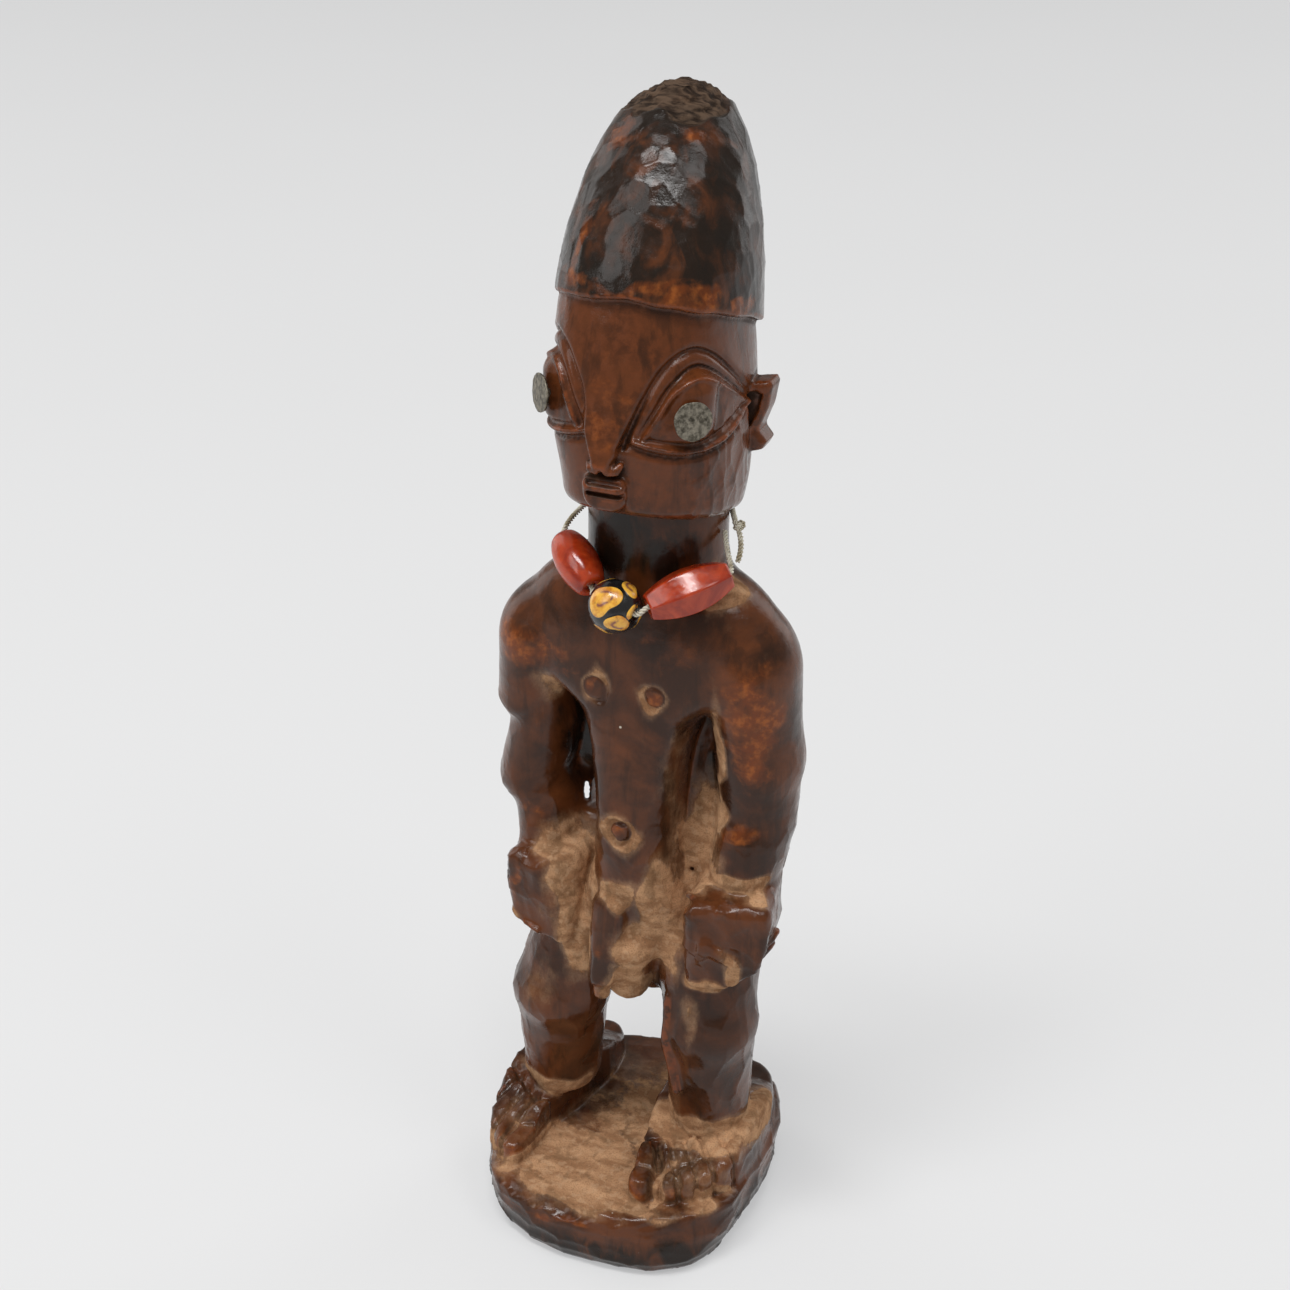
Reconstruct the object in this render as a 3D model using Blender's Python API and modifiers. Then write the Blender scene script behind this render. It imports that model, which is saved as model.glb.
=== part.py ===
"""Carved wooden doll on a small plinth: one figure, two eye discs and a beaded cord round its neck.

Lengths in the tables are millimetres. The origin is the middle of the base's underside, the face
looks along -Y, the figure's left is +X and +Z is up.
"""

import math

import bmesh
import bpy
import numpy as np
from mathutils import Matrix, Vector

MM = 0.001
VOXEL = 1.15
FIGURE_FACES = 7000
SECTION_POINTS = 48
GAP = 0.3

CORD_DIAMETER = 1.3
BEAD_BORE = 2.0
TRADE_BORE = 2.4
DISC_DIAMETER = 8.0
DISC_THICKNESS = 0.9
SHANK_DIAMETER = 1.8
SHANK_LENGTH = 5.0
SOCKET_SPARE = 0.6
SOCKET_REACH = 6.0

# Plinth outline, anticlockwise from its right edge, at three heights.
PLINTH_TOP = (
    (30.0, -4.0), (28.6, 8.0), (25.4, 20.0), (20.6, 31.0), (11.0, 36.0), (-2.0, 36.4),
    (-13.0, 35.0), (-22.0, 31.5), (-29.6, 21.0), (-33.4, 8.0), (-34.4, -7.0), (-32.8, -18.5),
    (-28.0, -27.8), (-19.5, -32.8), (-7.0, -34.8), (3.0, -33.9), (12.5, -31.4), (20.5, -26.6),
    (25.6, -21.6), (28.8, -15.2),
)
PLINTH_BOTTOM = (
    (28.4, -2.0), (27.2, 10.0), (24.0, 21.0), (19.0, 30.0), (10.0, 34.0), (-2.0, 34.6),
    (-13.0, 33.4), (-21.5, 30.0), (-28.5, 20.0), (-31.5, 8.0), (-33.0, -6.0), (-31.8, -17.2),
    (-28.0, -25.6), (-21.0, -31.2), (-9.0, -34.8), (2.5, -35.0), (13.6, -33.0), (21.8, -28.0),
    (26.6, -21.2), (28.2, -12.2),
)
# Height, share of the top outline and swell of each level of the plinth.
PLINTH_LEVELS = (
    (-2.0, 0.0, 0.91), (0.0, 0.0, 0.93), (1.6, 0.0, 0.97), (4.0, 0.1, 1.0), (9.0, 0.55, 1.02), (14.0, 0.95, 1.01),
    (16.2, 1.0, 0.975),
)

# Lofts: height, half width, front, back, middle and squareness of each section.
TORSO = (
    (54.0, 9.0, -2.0, 10.0, 0.0, 2.2),
    (60.0, 14.0, -5.0, 15.0, -0.5, 2.3),
    (68.0, 19.5, -8.0, 19.0, -0.5, 2.4),
    (78.0, 19.0, -10.5, 20.5, 0.0, 2.4),
    (88.0, 15.0, -13.0, 17.5, 0.0, 2.5),
    (98.0, 12.4, -15.0, 15.5, 0.0, 2.8),
    (110.0, 11.6, -15.5, 13.5, 0.0, 2.9),
    (120.0, 11.6, -15.0, 13.5, 0.0, 2.9),
    (130.0, 12.6, -13.8, 14.5, 0.0, 2.8),
    (138.0, 17.0, -12.8, 15.0, 0.0, 2.7),
    (145.0, 30.0, -12.3, 18.0, -0.8, 2.5),
    (153.0, 32.8, -11.8, 18.5, -0.9, 2.4),
    (160.0, 30.2, -10.6, 17.5, -0.7, 2.3),
    (166.0, 24.6, -8.6, 16.0, -0.8, 2.2),
    (170.5, 17.0, -5.0, 14.0, -1.0, 2.0),
)
NECK = (
    (160.0, 15.4, -9.4, 20.4, 0.2, 2.1),
    (176.0, 14.6, -9.0, 20.0, 0.2, 2.1),
    (192.0, 14.6, -9.0, 20.5, 0.2, 2.1),
)
HEAD = (
    (183.6, 12.6, -9.0, 19.0, 1.0, 2.1),
    (185.8, 14.8, -16.0, 21.5, 1.0, 2.2),
    (189.0, 17.0, -20.2, 23.4, 1.7, 2.2),
    (197.0, 18.4, -20.8, 25.8, 1.4, 2.3),
    (207.0, 19.4, -20.6, 28.2, 0.4, 2.6),
    (216.0, 19.4, -19.4, 30.0, -0.2, 2.6),
    (226.0, 19.0, -16.8, 31.2, -0.2, 2.5),
    (238.0, 18.4, -13.0, 31.0, 0.0, 2.3),
)
CAP = (
    (204.0, 19.8, -17.6, 31.4, 0.0, 2.3),
    (226.0, 20.2, -17.8, 32.2, 0.0, 2.3),
    (234.6, 20.0, -16.2, 32.8, 0.0, 2.2),
    (246.0, 18.4, -10.0, 32.8, -0.2, 2.2),
    (255.6, 15.8, -3.0, 32.4, -0.3, 2.1),
    (261.6, 13.0, 3.0, 30.8, -0.4, 2.1),
    (265.4, 10.4, 7.8, 29.6, -0.4, 2.0),
    (268.0, 7.4, 11.6, 27.0, 0.0, 2.0),
    (270.2, 4.0, 14.0, 22.4, 0.3, 2.0),
)
CAP_RIM_FRONT = (-16.2, 234.2)
CAP_RIM_BACK = (33.0, 216.5)

# Limbs: centre and radii of the rounded form at each end.
LIMBS = (
    ((24.0, 3.5, 147.0), (10.6, 13.0, 14.0), (26.0, 4.5, 124.0), (9.4, 11.5, 9.0)),
    ((26.0, 4.5, 124.0), (9.4, 11.5, 9.0), (26.2, 4.0, 113.0), (8.8, 11.5, 8.0)),
    ((26.2, 3.0, 113.0), (8.6, 11.0, 8.0), (24.8, -1.0, 98.0), (7.8, 10.0, 8.0)),
    ((-25.0, 3.0, 148.0), (10.8, 13.0, 12.4), (-27.2, 3.8, 133.0), (9.6, 12.0, 7.0)),
    ((-25.0, 4.4, 129.0), (8.4, 12.0, 9.0), (-28.8, 4.8, 111.0), (9.0, 12.0, 6.8)),
    ((-25.2, 3.6, 107.0), (7.8, 11.2, 8.0), (-23.2, -0.8, 94.0), (7.4, 9.6, 8.0)),
    ((-15.4, 8.6, 142.0), (5.6, 5.6, 8.0), (-15.8, 8.6, 117.5), (5.4, 5.2, 5.0)),
    ((-18.2, 8.6, 116.0), (3.4, 5.0, 5.0), (-19.8, 5.6, 98.0), (3.2, 5.0, 5.0)),
    ((14.6, 3.0, 74.0), (12.6, 14.0, 12.0), (17.8, -2.6, 56.0), (10.8, 12.5, 9.0)),
    ((17.8, -2.6, 56.0), (10.8, 12.5, 9.0), (16.6, 0.4, 30.0), (9.0, 11.0, 8.0)),
    ((-15.6, 3.0, 74.0), (13.0, 14.0, 12.0), (-21.0, -2.8, 56.0), (11.4, 12.5, 9.0)),
    ((-21.0, -2.8, 56.0), (11.4, 12.5, 9.0), (-22.0, 0.6, 32.0), (8.8, 10.5, 8.0)),
    ((8.5, 14.0, 80.0), (9.5, 9.5, 9.5), (9.5, 10.0, 68.0), (10.0, 10.0, 9.0)),
    ((-8.5, 14.0, 80.0), (9.5, 9.5, 9.5), (-9.5, 10.0, 68.0), (10.0, 10.0, 9.0)),
    ((-2.6, -13.0, 90.0), (4.4, 3.6, 4.5), (-5.6, -16.0, 68.0), (3.0, 3.0, 3.0)),
    ((1.5, -6.0, 74.0), (8.0, 8.0, 9.0), (1.0, -4.0, 63.0), (6.4, 5.5, 5.5)),
    ((0.0, -16.8, 224.0), (8.6, 3.0, 3.0), (0.0, -22.6, 204.2), (2.4, 2.8, 1.8)),
    ((12.6, -9.6, 215.0), (6.6, 6.6, 6.0), (12.0, -10.4, 207.6), (6.6, 6.8, 6.0)),
    ((-12.2, -9.4, 215.0), (6.6, 6.6, 6.0), (-11.4, -10.2, 207.6), (6.6, 6.8, 6.0)),
    ((-24.0, 2.0, 35.0), (8.0, 9.0, 6.0), (-29.8, -7.0, 25.0), (5.4, 8.0, 4.0)),
)

# Blocks: centre, half sizes, turn about Z in degrees, tilt about X in degrees.
BLOCKS = (
    ((23.6, -5.2, 86.6), (10.0, 10.6, 12.0), 12.0, 5.0),
    ((-20.8, -4.8, 86.4), (8.8, 10.2, 11.8), -10.0, 5.0),
    ((15.0, 11.5, 121.0), (5.0, 3.0, 21.0), 0.0, 0.0),
    ((-14.0, 10.5, 94.0), (5.0, 3.5, 9.0), 0.0, 0.0),
    ((0.0, -20.6, 195.6), (4.2, 3.2, 3.4), 0.0, 4.0),
    ((18.8, 13.4, 203.2), (4.0, 3.4, 7.8), 0.0, 0.0),
    ((-18.8, 13.4, 203.2), (4.0, 3.4, 7.8), 0.0, 0.0),
)
# Feet: footprint corners from the toes back, with the height of the instep over each.
LEFT_FOOT = ((5.4, -25.6), (14.0, -24.6), (22.4, -19.0), (27.0, -7.0), (26.4, 12.0), (21.0, 27.0),
             (10.0, 27.5), (3.6, 14.0), (1.8, 0.0), (3.4, -14.0))
RIGHT_FOOT = ((-29.0, -24.8), (-23.6, -22.4), (-21.6, -10.0), (-14.6, 3.0), (-12.4, 16.0),
              (-14.0, 28.0), (-23.5, 29.4), (-31.6, 18.0), (-35.4, 4.0), (-34.8, -13.0))
FOOT_LEVELS = ((13.0, 0.0, 1.0), (21.0, 0.0, 0.99), (24.2, 0.1, 0.88), (27.6, 0.45, 0.6))

# Nipples and navel: centre and radius of each boss.
BOSS_STANDS_OUT = 1.3
BOSS_ROOT = 3.0
BOSSES = (
    ((-7.2, -12.6, 144.6), 2.3),
    ((7.2, -12.6, 144.6), 2.3),
    ((0.2, -15.3, 110.8), 2.3),
)

EYE_LEFT = ((16.4, -15.6, 211.4), (0.66, -0.74, 0.1), 0.3)
EYE_RIGHT = ((-15.6, -14.9, 212.4), (-0.68, -0.72, 0.08), 1.1)

# Necklace: ends of each bead's straight bore, then the cord's route points.
RIGHT_BEAD = ((-16.6, -6.6, 176.3), (-6.1, -14.8, 169.9))
TRADE_BEAD = ((-4.9, -16.5, 168.5), (5.3, -17.9, 167.3))
LEFT_BEAD = ((7.2, -16.6, 168.6), (21.0, -4.7, 173.8))
RIGHT_RADIUS = 4.6
LEFT_RADIUS = 5.2
TRADE_RADIUS = 5.9
LEAD_INSIDE = 1.0
LEAD_OUTSIDE = 0.5
CORD_START = ((21.0, -0.2, 174.4), (21.0, 2.0, 176.6), (19.8, 4.4, 178.8), (17.8, 6.8, 180.2), (16.0, 10.2, 180.4))
CORD_NAPE = ((13.6, 15.0, 180.4), (8.4, 19.6, 180.4), (2.8, 21.5, 180.4), (-2.8, 21.5, 180.4),
             (-8.4, 19.6, 180.4), (-13.6, 15.0, 180.2), (-16.0, 9.0, 179.8), (-16.6, 2.6, 179.4))
CORD_RIGHT = ((-16.9, -3.2, 178.4),)
CORD_END = ((19.8, -1.6, 175.2), (18.2, 0.8, 176.6), (17.0, 2.8, 178.2), (16.4, 4.2, 179.4))
KNOT_CENTRE = (18.2, 6.6, 180.0)


def clear_scene():
    for obj in list(bpy.data.objects):
        bpy.data.objects.remove(obj, do_unlink=True)


def new_collection(name):
    collection = bpy.data.collections.new(name)
    bpy.context.scene.collection.children.link(collection)
    return collection


def add_object(name, mesh, collection):
    obj = bpy.data.objects.new(name, mesh)
    collection.objects.link(obj)
    return obj


def hide_cutter(obj):
    obj.hide_render = True
    obj.display_type = "WIRE"
    return obj


def material(name, colour, roughness, metallic=0.0):
    result = bpy.data.materials.new(name)
    result.use_nodes = True
    shader = result.node_tree.nodes["Principled BSDF"]
    shader.inputs["Base Color"].default_value = (*colour, 1.0)
    shader.inputs["Roughness"].default_value = roughness
    shader.inputs["Metallic"].default_value = metallic
    result.diffuse_color = (*colour, 1.0)
    return result


def mesh_from(body, name):
    mesh = bpy.data.meshes.new(name)
    bmesh.ops.recalc_face_normals(body, faces=body.faces)
    body.to_mesh(mesh)
    body.free()
    return mesh


def smooth(obj):
    for face in obj.data.polygons:
        face.use_smooth = True


def add_ball(body, centre, radii, subdivisions=3):
    matrix = Matrix.Translation(Vector(centre) * MM) @ Matrix.Diagonal((*(r * MM for r in radii), 1.0))
    return bmesh.ops.create_icosphere(body, subdivisions=subdivisions, radius=1.0, matrix=matrix)["verts"]


def limb(limb_row, index, helpers):
    """Skin stretched over two rounded ends."""
    first, first_radii, second, second_radii = limb_row
    body = bmesh.new()
    add_ball(body, first, first_radii)
    add_ball(body, second, second_radii)
    hull = bmesh.ops.convex_hull(body, input=body.verts)
    loose = [v for v in hull["geom_interior"] + hull["geom_unused"] if isinstance(v, bmesh.types.BMVert)]
    bmesh.ops.delete(body, geom=list(set(loose)), context="VERTS")
    return add_object(f"limb_{index}", mesh_from(body, "limb"), helpers)


def block(block_row, index, helpers):
    """A box with well rounded edges."""
    centre, half, turn, tilt = block_row
    body = bmesh.new()
    matrix = (
        Matrix.Translation(Vector(centre) * MM)
        @ Matrix.Rotation(math.radians(turn), 4, "Z")
        @ Matrix.Rotation(math.radians(tilt), 4, "X")
        @ Matrix.Diagonal((*(2 * h * MM for h in half), 1.0))
    )
    bmesh.ops.create_cube(body, size=1.0, matrix=matrix)
    obj = add_object(f"block_{index}", mesh_from(body, "block"), helpers)
    bevel = obj.modifiers.new("Round", "BEVEL")
    bevel.width = min(half) * 0.62 * MM
    bevel.segments = 4
    return obj


def superellipse(half_width, front, back, middle, power, count=SECTION_POINTS):
    centre = (front + back) / 2
    depth = (back - front) / 2
    for k in range(count):
        angle = 2 * math.pi * k / count
        c, s = math.cos(angle), math.sin(angle)
        x = math.copysign(abs(c) ** (2 / power), c) * half_width + middle
        y = math.copysign(abs(s) ** (2 / power), s) * depth + centre
        yield x, y


def rings_to_mesh(rings, name):
    """A closed body through rings of equal point counts, with flat ends."""
    body = bmesh.new()
    loops = [[body.verts.new(Vector(point) * MM) for point in ring] for ring in rings]
    count = len(loops[0])
    for low, high in zip(loops, loops[1:]):
        for k in range(count):
            after = (k + 1) % count
            body.faces.new((low[k], low[after], high[after], high[k]))
    body.faces.new(list(reversed(loops[0])))
    body.faces.new(loops[-1])
    return mesh_from(body, name)


def section_rows(table, step=3.0):
    """Rows between those of the table, blended smoothly, for a loft without creases."""
    rows = np.array(table)
    heights = rows[:, 0]
    slopes = np.gradient(rows, heights, axis=0)
    result = []
    for k in range(len(rows) - 1):
        span = heights[k + 1] - heights[k]
        parts = max(1, int(math.ceil(span / step)))
        for part in range(parts):
            t = part / parts
            h00, h10 = 2 * t**3 - 3 * t**2 + 1, t**3 - 2 * t**2 + t
            h01, h11 = -2 * t**3 + 3 * t**2, t**3 - t**2
            result.append(h00 * rows[k] + h10 * span * slopes[k] + h01 * rows[k + 1] + h11 * span * slopes[k + 1])
    result.append(rows[-1])
    return result


def loft(name, table, helpers):
    rings = []
    for z, half_width, front, back, middle, power in section_rows(table):
        rings.append([(x, y, z) for x, y in superellipse(half_width, front, back, middle, power)])
    return add_object(name, rings_to_mesh(rings, name), helpers)


def closed_curve(points, per_side=5):
    """A smooth closed line through the points."""
    rows = np.array(points, float)
    result = []
    for k in range(len(rows)):
        a, b, c, d = (rows[(k + j) % len(rows)] for j in (-1, 0, 1, 2))
        for part in range(per_side):
            t = part / per_side
            result.append(
                0.5 * ((2 * b) + (c - a) * t + (2 * a - 5 * b + 4 * c - d) * t**2 + (3 * b - a - 3 * c + d) * t**3)
            )
    return np.array(result)


def plinth(helpers):
    top, bottom = closed_curve(PLINTH_TOP), closed_curve(PLINTH_BOTTOM)
    rings = []
    for z, share, swell in PLINTH_LEVELS:
        outline = (bottom + (top - bottom) * share) * swell
        rings.append([(x, y, z) for x, y in outline])
    return add_object("plinth", rings_to_mesh(rings, "plinth"), helpers)


def foot(name, footprint, helpers):
    """A wedge that rises from the toes towards the ankle."""
    outline = closed_curve(footprint)
    centre = outline.mean(axis=0)
    rings = []
    for z, back_shift, scale in FOOT_LEVELS:
        shift = np.array((0.0, back_shift * 12.0))
        rings.append([(*(centre + shift + (point - centre) * scale), z) for point in outline])
    return add_object(name, rings_to_mesh(rings, name), helpers)


def tilted_block(name, helpers, front, back, below):
    """A large block whose lower (or upper) face runs from a front to a back point of the YZ plane."""
    run = back[0] - front[0]
    rise = back[1] - front[1]
    angle = math.atan2(rise, run)
    size = 120.0
    body = bmesh.new()
    offset = -size / 2 if below else size / 2
    matrix = (
        Matrix.Translation(Vector((0.0, front[0], front[1])) * MM)
        @ Matrix.Rotation(angle, 4, "X")
        @ Matrix.Translation(Vector((0.0, 20.0, offset)) * MM)
        @ Matrix.Diagonal((size * MM, size * MM, size * MM, 1.0))
    )
    bmesh.ops.create_cube(body, size=1.0, matrix=matrix)
    return hide_cutter(add_object(name, mesh_from(body, name), helpers))


def boolean(obj, cutter, operation="DIFFERENCE"):
    modifier = obj.modifiers.new(operation.title(), "BOOLEAN")
    modifier.operation = operation
    modifier.object = cutter
    return modifier


def evaluated_mesh(obj):
    bpy.context.view_layer.update()
    return bpy.data.meshes.new_from_object(obj.evaluated_get(bpy.context.evaluated_depsgraph_get()))


def cylinder_mesh(name, start, end, radius, segments=32):
    start, end = Vector(start) * MM, Vector(end) * MM
    direction = end - start
    matrix = Matrix.Translation((start + end) / 2) @ direction.to_track_quat("Z", "Y").to_matrix().to_4x4()
    body = bmesh.new()
    bmesh.ops.create_cone(
        body, cap_ends=True, segments=segments, radius1=radius * MM, radius2=radius * MM,
        depth=direction.length, matrix=matrix,
    )
    return mesh_from(body, name)


def joined(objects, name, collection):
    """One mesh that holds every object's evaluated surface."""
    body = bmesh.new()
    for obj in objects:
        body.from_mesh(evaluated_mesh(obj))
    mesh = bpy.data.meshes.new(name)
    body.to_mesh(mesh)
    body.free()
    return add_object(name, mesh, collection)


def eye_axis(row):
    centre, normal, stand = row
    normal = Vector(normal).normalized()
    return Vector(centre), normal, stand


def carve_figure(parts, helpers):
    pieces = [loft("torso", TORSO, helpers), loft("neck", NECK, helpers), loft("head", HEAD, helpers)]
    cap = loft("cap", CAP, helpers)
    boolean(cap, tilted_block("cap_cutter", helpers, CAP_RIM_FRONT, CAP_RIM_BACK, below=True))
    pieces.append(cap)
    pieces.append(plinth(helpers))
    pieces.append(foot("foot_left", LEFT_FOOT, helpers))
    pieces.append(foot("foot_right", RIGHT_FOOT, helpers))
    pieces += [limb(row, k, helpers) for k, row in enumerate(LIMBS)]
    pieces += [block(row, k, helpers) for k, row in enumerate(BLOCKS)]
    for k, (centre, radius) in enumerate(BOSSES):
        front = Vector(centre) - Vector((0.0, BOSS_STANDS_OUT, 0.0))
        back = Vector(centre) + Vector((0.0, BOSS_ROOT, 0.0))
        pieces.append(add_object(f"boss_{k}", cylinder_mesh("boss", back, front, radius), helpers))
    rough = joined(pieces, "rough_figure", helpers)
    remesh = rough.modifiers.new("Remesh", "REMESH")
    remesh.mode = "VOXEL"
    remesh.voxel_size = VOXEL * MM
    smoothing = rough.modifiers.new("Smooth", "SMOOTH")
    smoothing.factor = 0.5
    smoothing.iterations = 4
    even = add_object("even_figure", evaluated_mesh(rough), helpers)
    decimate = even.modifiers.new("Decimate", "DECIMATE")
    decimate.ratio = FIGURE_FACES / (2 * len(even.data.polygons))
    figure = add_object("carved_figure", evaluated_mesh(even), parts)
    floor = bmesh.new()
    bmesh.ops.create_cube(floor, size=1.0, matrix=Matrix.Translation((0, 0, -20 * MM)) @ Matrix.Diagonal((0.2, 0.2, 0.04, 1)))
    cutters = [add_object("floor_cutter", mesh_from(floor, "floor_cutter"), helpers)]
    for name, row in (("socket_left", EYE_LEFT), ("socket_right", EYE_RIGHT)):
        centre, normal, _ = eye_axis(row)
        inner = centre - normal * (SHANK_LENGTH + SOCKET_SPARE)
        outer = centre + normal * SOCKET_REACH
        cutters.append(add_object(name, cylinder_mesh(name, inner, outer, SHANK_DIAMETER / 2 + GAP, 24), helpers))
    for cutter in cutters:
        boolean(figure, hide_cutter(cutter))
    figure.data.materials.clear()
    for obj in pieces + [rough, even]:
        hide_cutter(obj)
    return figure


def eye_disc(name, row, parts):
    """A flat nail head standing just off the wood, on a short shank, turned from one profile."""
    centre, normal, stand = eye_axis(row)
    head = DISC_DIAMETER / 2
    shank = SHANK_DIAMETER / 2
    edge = 0.22
    profile = (
        (0.0, -SHANK_LENGTH), (shank * 0.35, -SHANK_LENGTH), (shank, -SHANK_LENGTH + 1.6), (shank, stand),
        (head - edge, stand), (head, stand + edge), (head, stand + DISC_THICKNESS - edge),
        (head - edge, stand + DISC_THICKNESS), (0.0, stand + DISC_THICKNESS + 0.12),
    )
    body = bmesh.new()
    points = [body.verts.new((r * MM, 0.0, h * MM)) for r, h in profile]
    for a, b in zip(points, points[1:]):
        body.edges.new((a, b))
    bmesh.ops.spin(
        body, geom=body.verts[:] + body.edges[:], cent=(0, 0, 0), axis=(0, 0, 1), angle=2 * math.pi, steps=20,
        use_merge=True,
    )
    bmesh.ops.remove_doubles(body, verts=body.verts, dist=1e-6)
    obj = add_object(name, mesh_from(body, name), parts)
    obj.matrix_world = Matrix.Translation(centre * MM) @ normal.to_track_quat("Z", "Y").to_matrix().to_4x4()
    smooth(obj)
    return obj


def bead(name, ends, radii, bore, parts, segments, spin=0.0):
    """A bead turned about its bore: outer radii from end to end, then back along the bore."""
    start, end = (Vector(point) for point in ends)
    length = (end - start).length
    inner = bore / 2
    outer = [(radius, length * (t - 0.5)) for t, radius in radii]
    profile = [(inner, -length / 2), *outer, (inner, length / 2)]
    body = bmesh.new()
    rings = []
    for radius, h in profile:
        ring = []
        for k in range(segments):
            angle = 2 * math.pi * k / segments + spin
            ring.append(body.verts.new((radius * math.cos(angle) * MM, radius * math.sin(angle) * MM, h * MM)))
        rings.append(ring)
    rings.append(rings[0])
    for low, high in zip(rings, rings[1:]):
        for k in range(segments):
            after = (k + 1) % segments
            body.faces.new((low[k], low[after], high[after], high[k]))
    obj = add_object(name, mesh_from(body, name), parts)
    axis = (end - start).normalized()
    obj.matrix_world = Matrix.Translation((start + end) / 2 * MM) @ axis.to_track_quat("Z", "Y").to_matrix().to_4x4()
    return obj


def rounded_line(points):
    """The line through the points with each corner cut once, which leaves straight runs straight."""
    rows = np.array(points, float)
    result = [rows[0]]
    for first, second in zip(rows, rows[1:]):
        result += [0.75 * first + 0.25 * second, 0.25 * first + 0.75 * second]
    result.append(rows[-1])
    return result


def cord_route():
    """The cord's line: up the left side, round the nape, down the right side, through the beads and up again."""
    straight = []
    for ends in (RIGHT_BEAD, TRADE_BEAD, LEFT_BEAD):
        start, end = np.array(ends[0]), np.array(ends[1])
        along = (end - start) / np.linalg.norm(end - start)
        straight += [start - along * LEAD_OUTSIDE, start + along * LEAD_INSIDE]
        straight += [end - along * LEAD_INSIDE, end + along * LEAD_OUTSIDE]
    return rounded_line([*CORD_START, *CORD_NAPE, *CORD_RIGHT, *straight, *CORD_END])


def cord(parts):
    points = cord_route()
    curve = bpy.data.curves.new("cord_line", "CURVE")
    curve.dimensions = "3D"
    curve.bevel_depth = CORD_DIAMETER / 2 * MM
    curve.bevel_resolution = 2
    curve.use_fill_caps = True
    spline = curve.splines.new("POLY")
    spline.points.add(len(points) - 1)
    for target, point in zip(spline.points, points):
        target.co = (*(Vector(point) * MM), 1.0)
    return add_object("necklace_cord", curve, parts)


def knot(parts, helpers):
    """A small lump tied round the outer strand."""
    body = bmesh.new()
    add_ball(body, KNOT_CENTRE, (1.9, 1.9, 1.8), subdivisions=2)
    obj = add_object("cord_knot", mesh_from(body, "cord_knot"), parts)
    line = cord_route()
    near = min(range(1, len(line) - 1), key=lambda k: np.linalg.norm(line[k] - np.array(KNOT_CENTRE)))
    channel = bpy.data.curves.new("knot_channel", "CURVE")
    channel.dimensions = "3D"
    channel.bevel_depth = (CORD_DIAMETER / 2 + GAP / 2) * MM
    channel.bevel_resolution = 2
    channel.use_fill_caps = True
    spline = channel.splines.new("POLY")
    run = line[max(0, near - 4):near + 5]
    spline.points.add(len(run) - 1)
    for target, point in zip(spline.points, run):
        target.co = (*(Vector(point) * MM), 1.0)
    guide = add_object("knot_channel_line", channel, helpers)
    mesh = evaluated_mesh(guide)
    bpy.data.objects.remove(guide, do_unlink=True)
    tidy = bmesh.new()
    tidy.from_mesh(mesh)
    bmesh.ops.remove_doubles(tidy, verts=tidy.verts, dist=1e-6)
    bmesh.ops.recalc_face_normals(tidy, faces=tidy.faces)
    tidy.to_mesh(mesh)
    tidy.free()
    boolean(obj, hide_cutter(add_object("knot_channel", mesh, helpers)))
    smooth(obj)
    return obj


def faceted_profile(radius):
    return ((0.0, radius * 0.5), (0.05, radius * 0.64), (0.36, radius), (0.64, radius), (0.95, radius * 0.64), (1.0, radius * 0.5))


def barrel_profile(radius):
    rows = [(0.0, radius * 0.5)]
    for k in range(1, 10):
        t = k / 10
        rows.append((t, radius * (0.5 + 0.5 * math.sin(math.pi * t) ** 0.6)))
    rows.append((1.0, radius * 0.5))
    return tuple(rows)


def round_profile(radius, length):
    rows = []
    for k in range(0, 11):
        t = k / 10
        h = (t - 0.5) * length
        rows.append((t, math.sqrt(max(radius**2 - h**2, 1.9**2))))
    return tuple(rows)


def build():
    clear_scene()
    parts = new_collection("fertility_doll")
    helpers = new_collection("cutters")
    helpers.hide_render = True
    figure = carve_figure(parts, helpers)
    figure.data.materials.append(material("dark_wood", (0.085, 0.032, 0.016), 0.42))
    smooth(figure)
    metal = material("dull_metal", (0.24, 0.23, 0.19), 0.5, 1.0)
    for name, row in (("eye_disc_left", EYE_LEFT), ("eye_disc_right", EYE_RIGHT)):
        eye_disc(name, row, parts).data.materials.append(metal)
    red = material("carnelian", (0.40, 0.035, 0.01), 0.22)
    left = bead("carnelian_bead_left", LEFT_BEAD, faceted_profile(LEFT_RADIUS), BEAD_BORE, parts, 6, 0.3)
    left.data.materials.append(red)
    right = bead("carnelian_bead_right", RIGHT_BEAD, barrel_profile(RIGHT_RADIUS), BEAD_BORE, parts, 20)
    right.data.materials.append(red)
    smooth(right)
    length = (Vector(TRADE_BEAD[1]) - Vector(TRADE_BEAD[0])).length
    trade = bead("trade_bead", TRADE_BEAD, round_profile(TRADE_RADIUS, length), TRADE_BORE, parts, 24)
    trade.data.materials.append(material("black_glass", (0.02, 0.02, 0.018), 0.3))
    smooth(trade)
    thread = material("cotton", (0.52, 0.48, 0.38), 0.9)
    cord(parts).data.materials.append(thread)
    knot(parts, helpers).data.materials.append(thread)


build()
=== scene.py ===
"""Looks of the carved wooden doll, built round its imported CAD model.

Carving lengths are millimetres in the frame of the model: the face looks along -Y, the figure's
left is +X, +Z is up and the origin is the middle of the base's underside.
"""

import math
from itertools import product

import bpy
import numpy as np
from mathutils import Matrix, Vector


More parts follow.
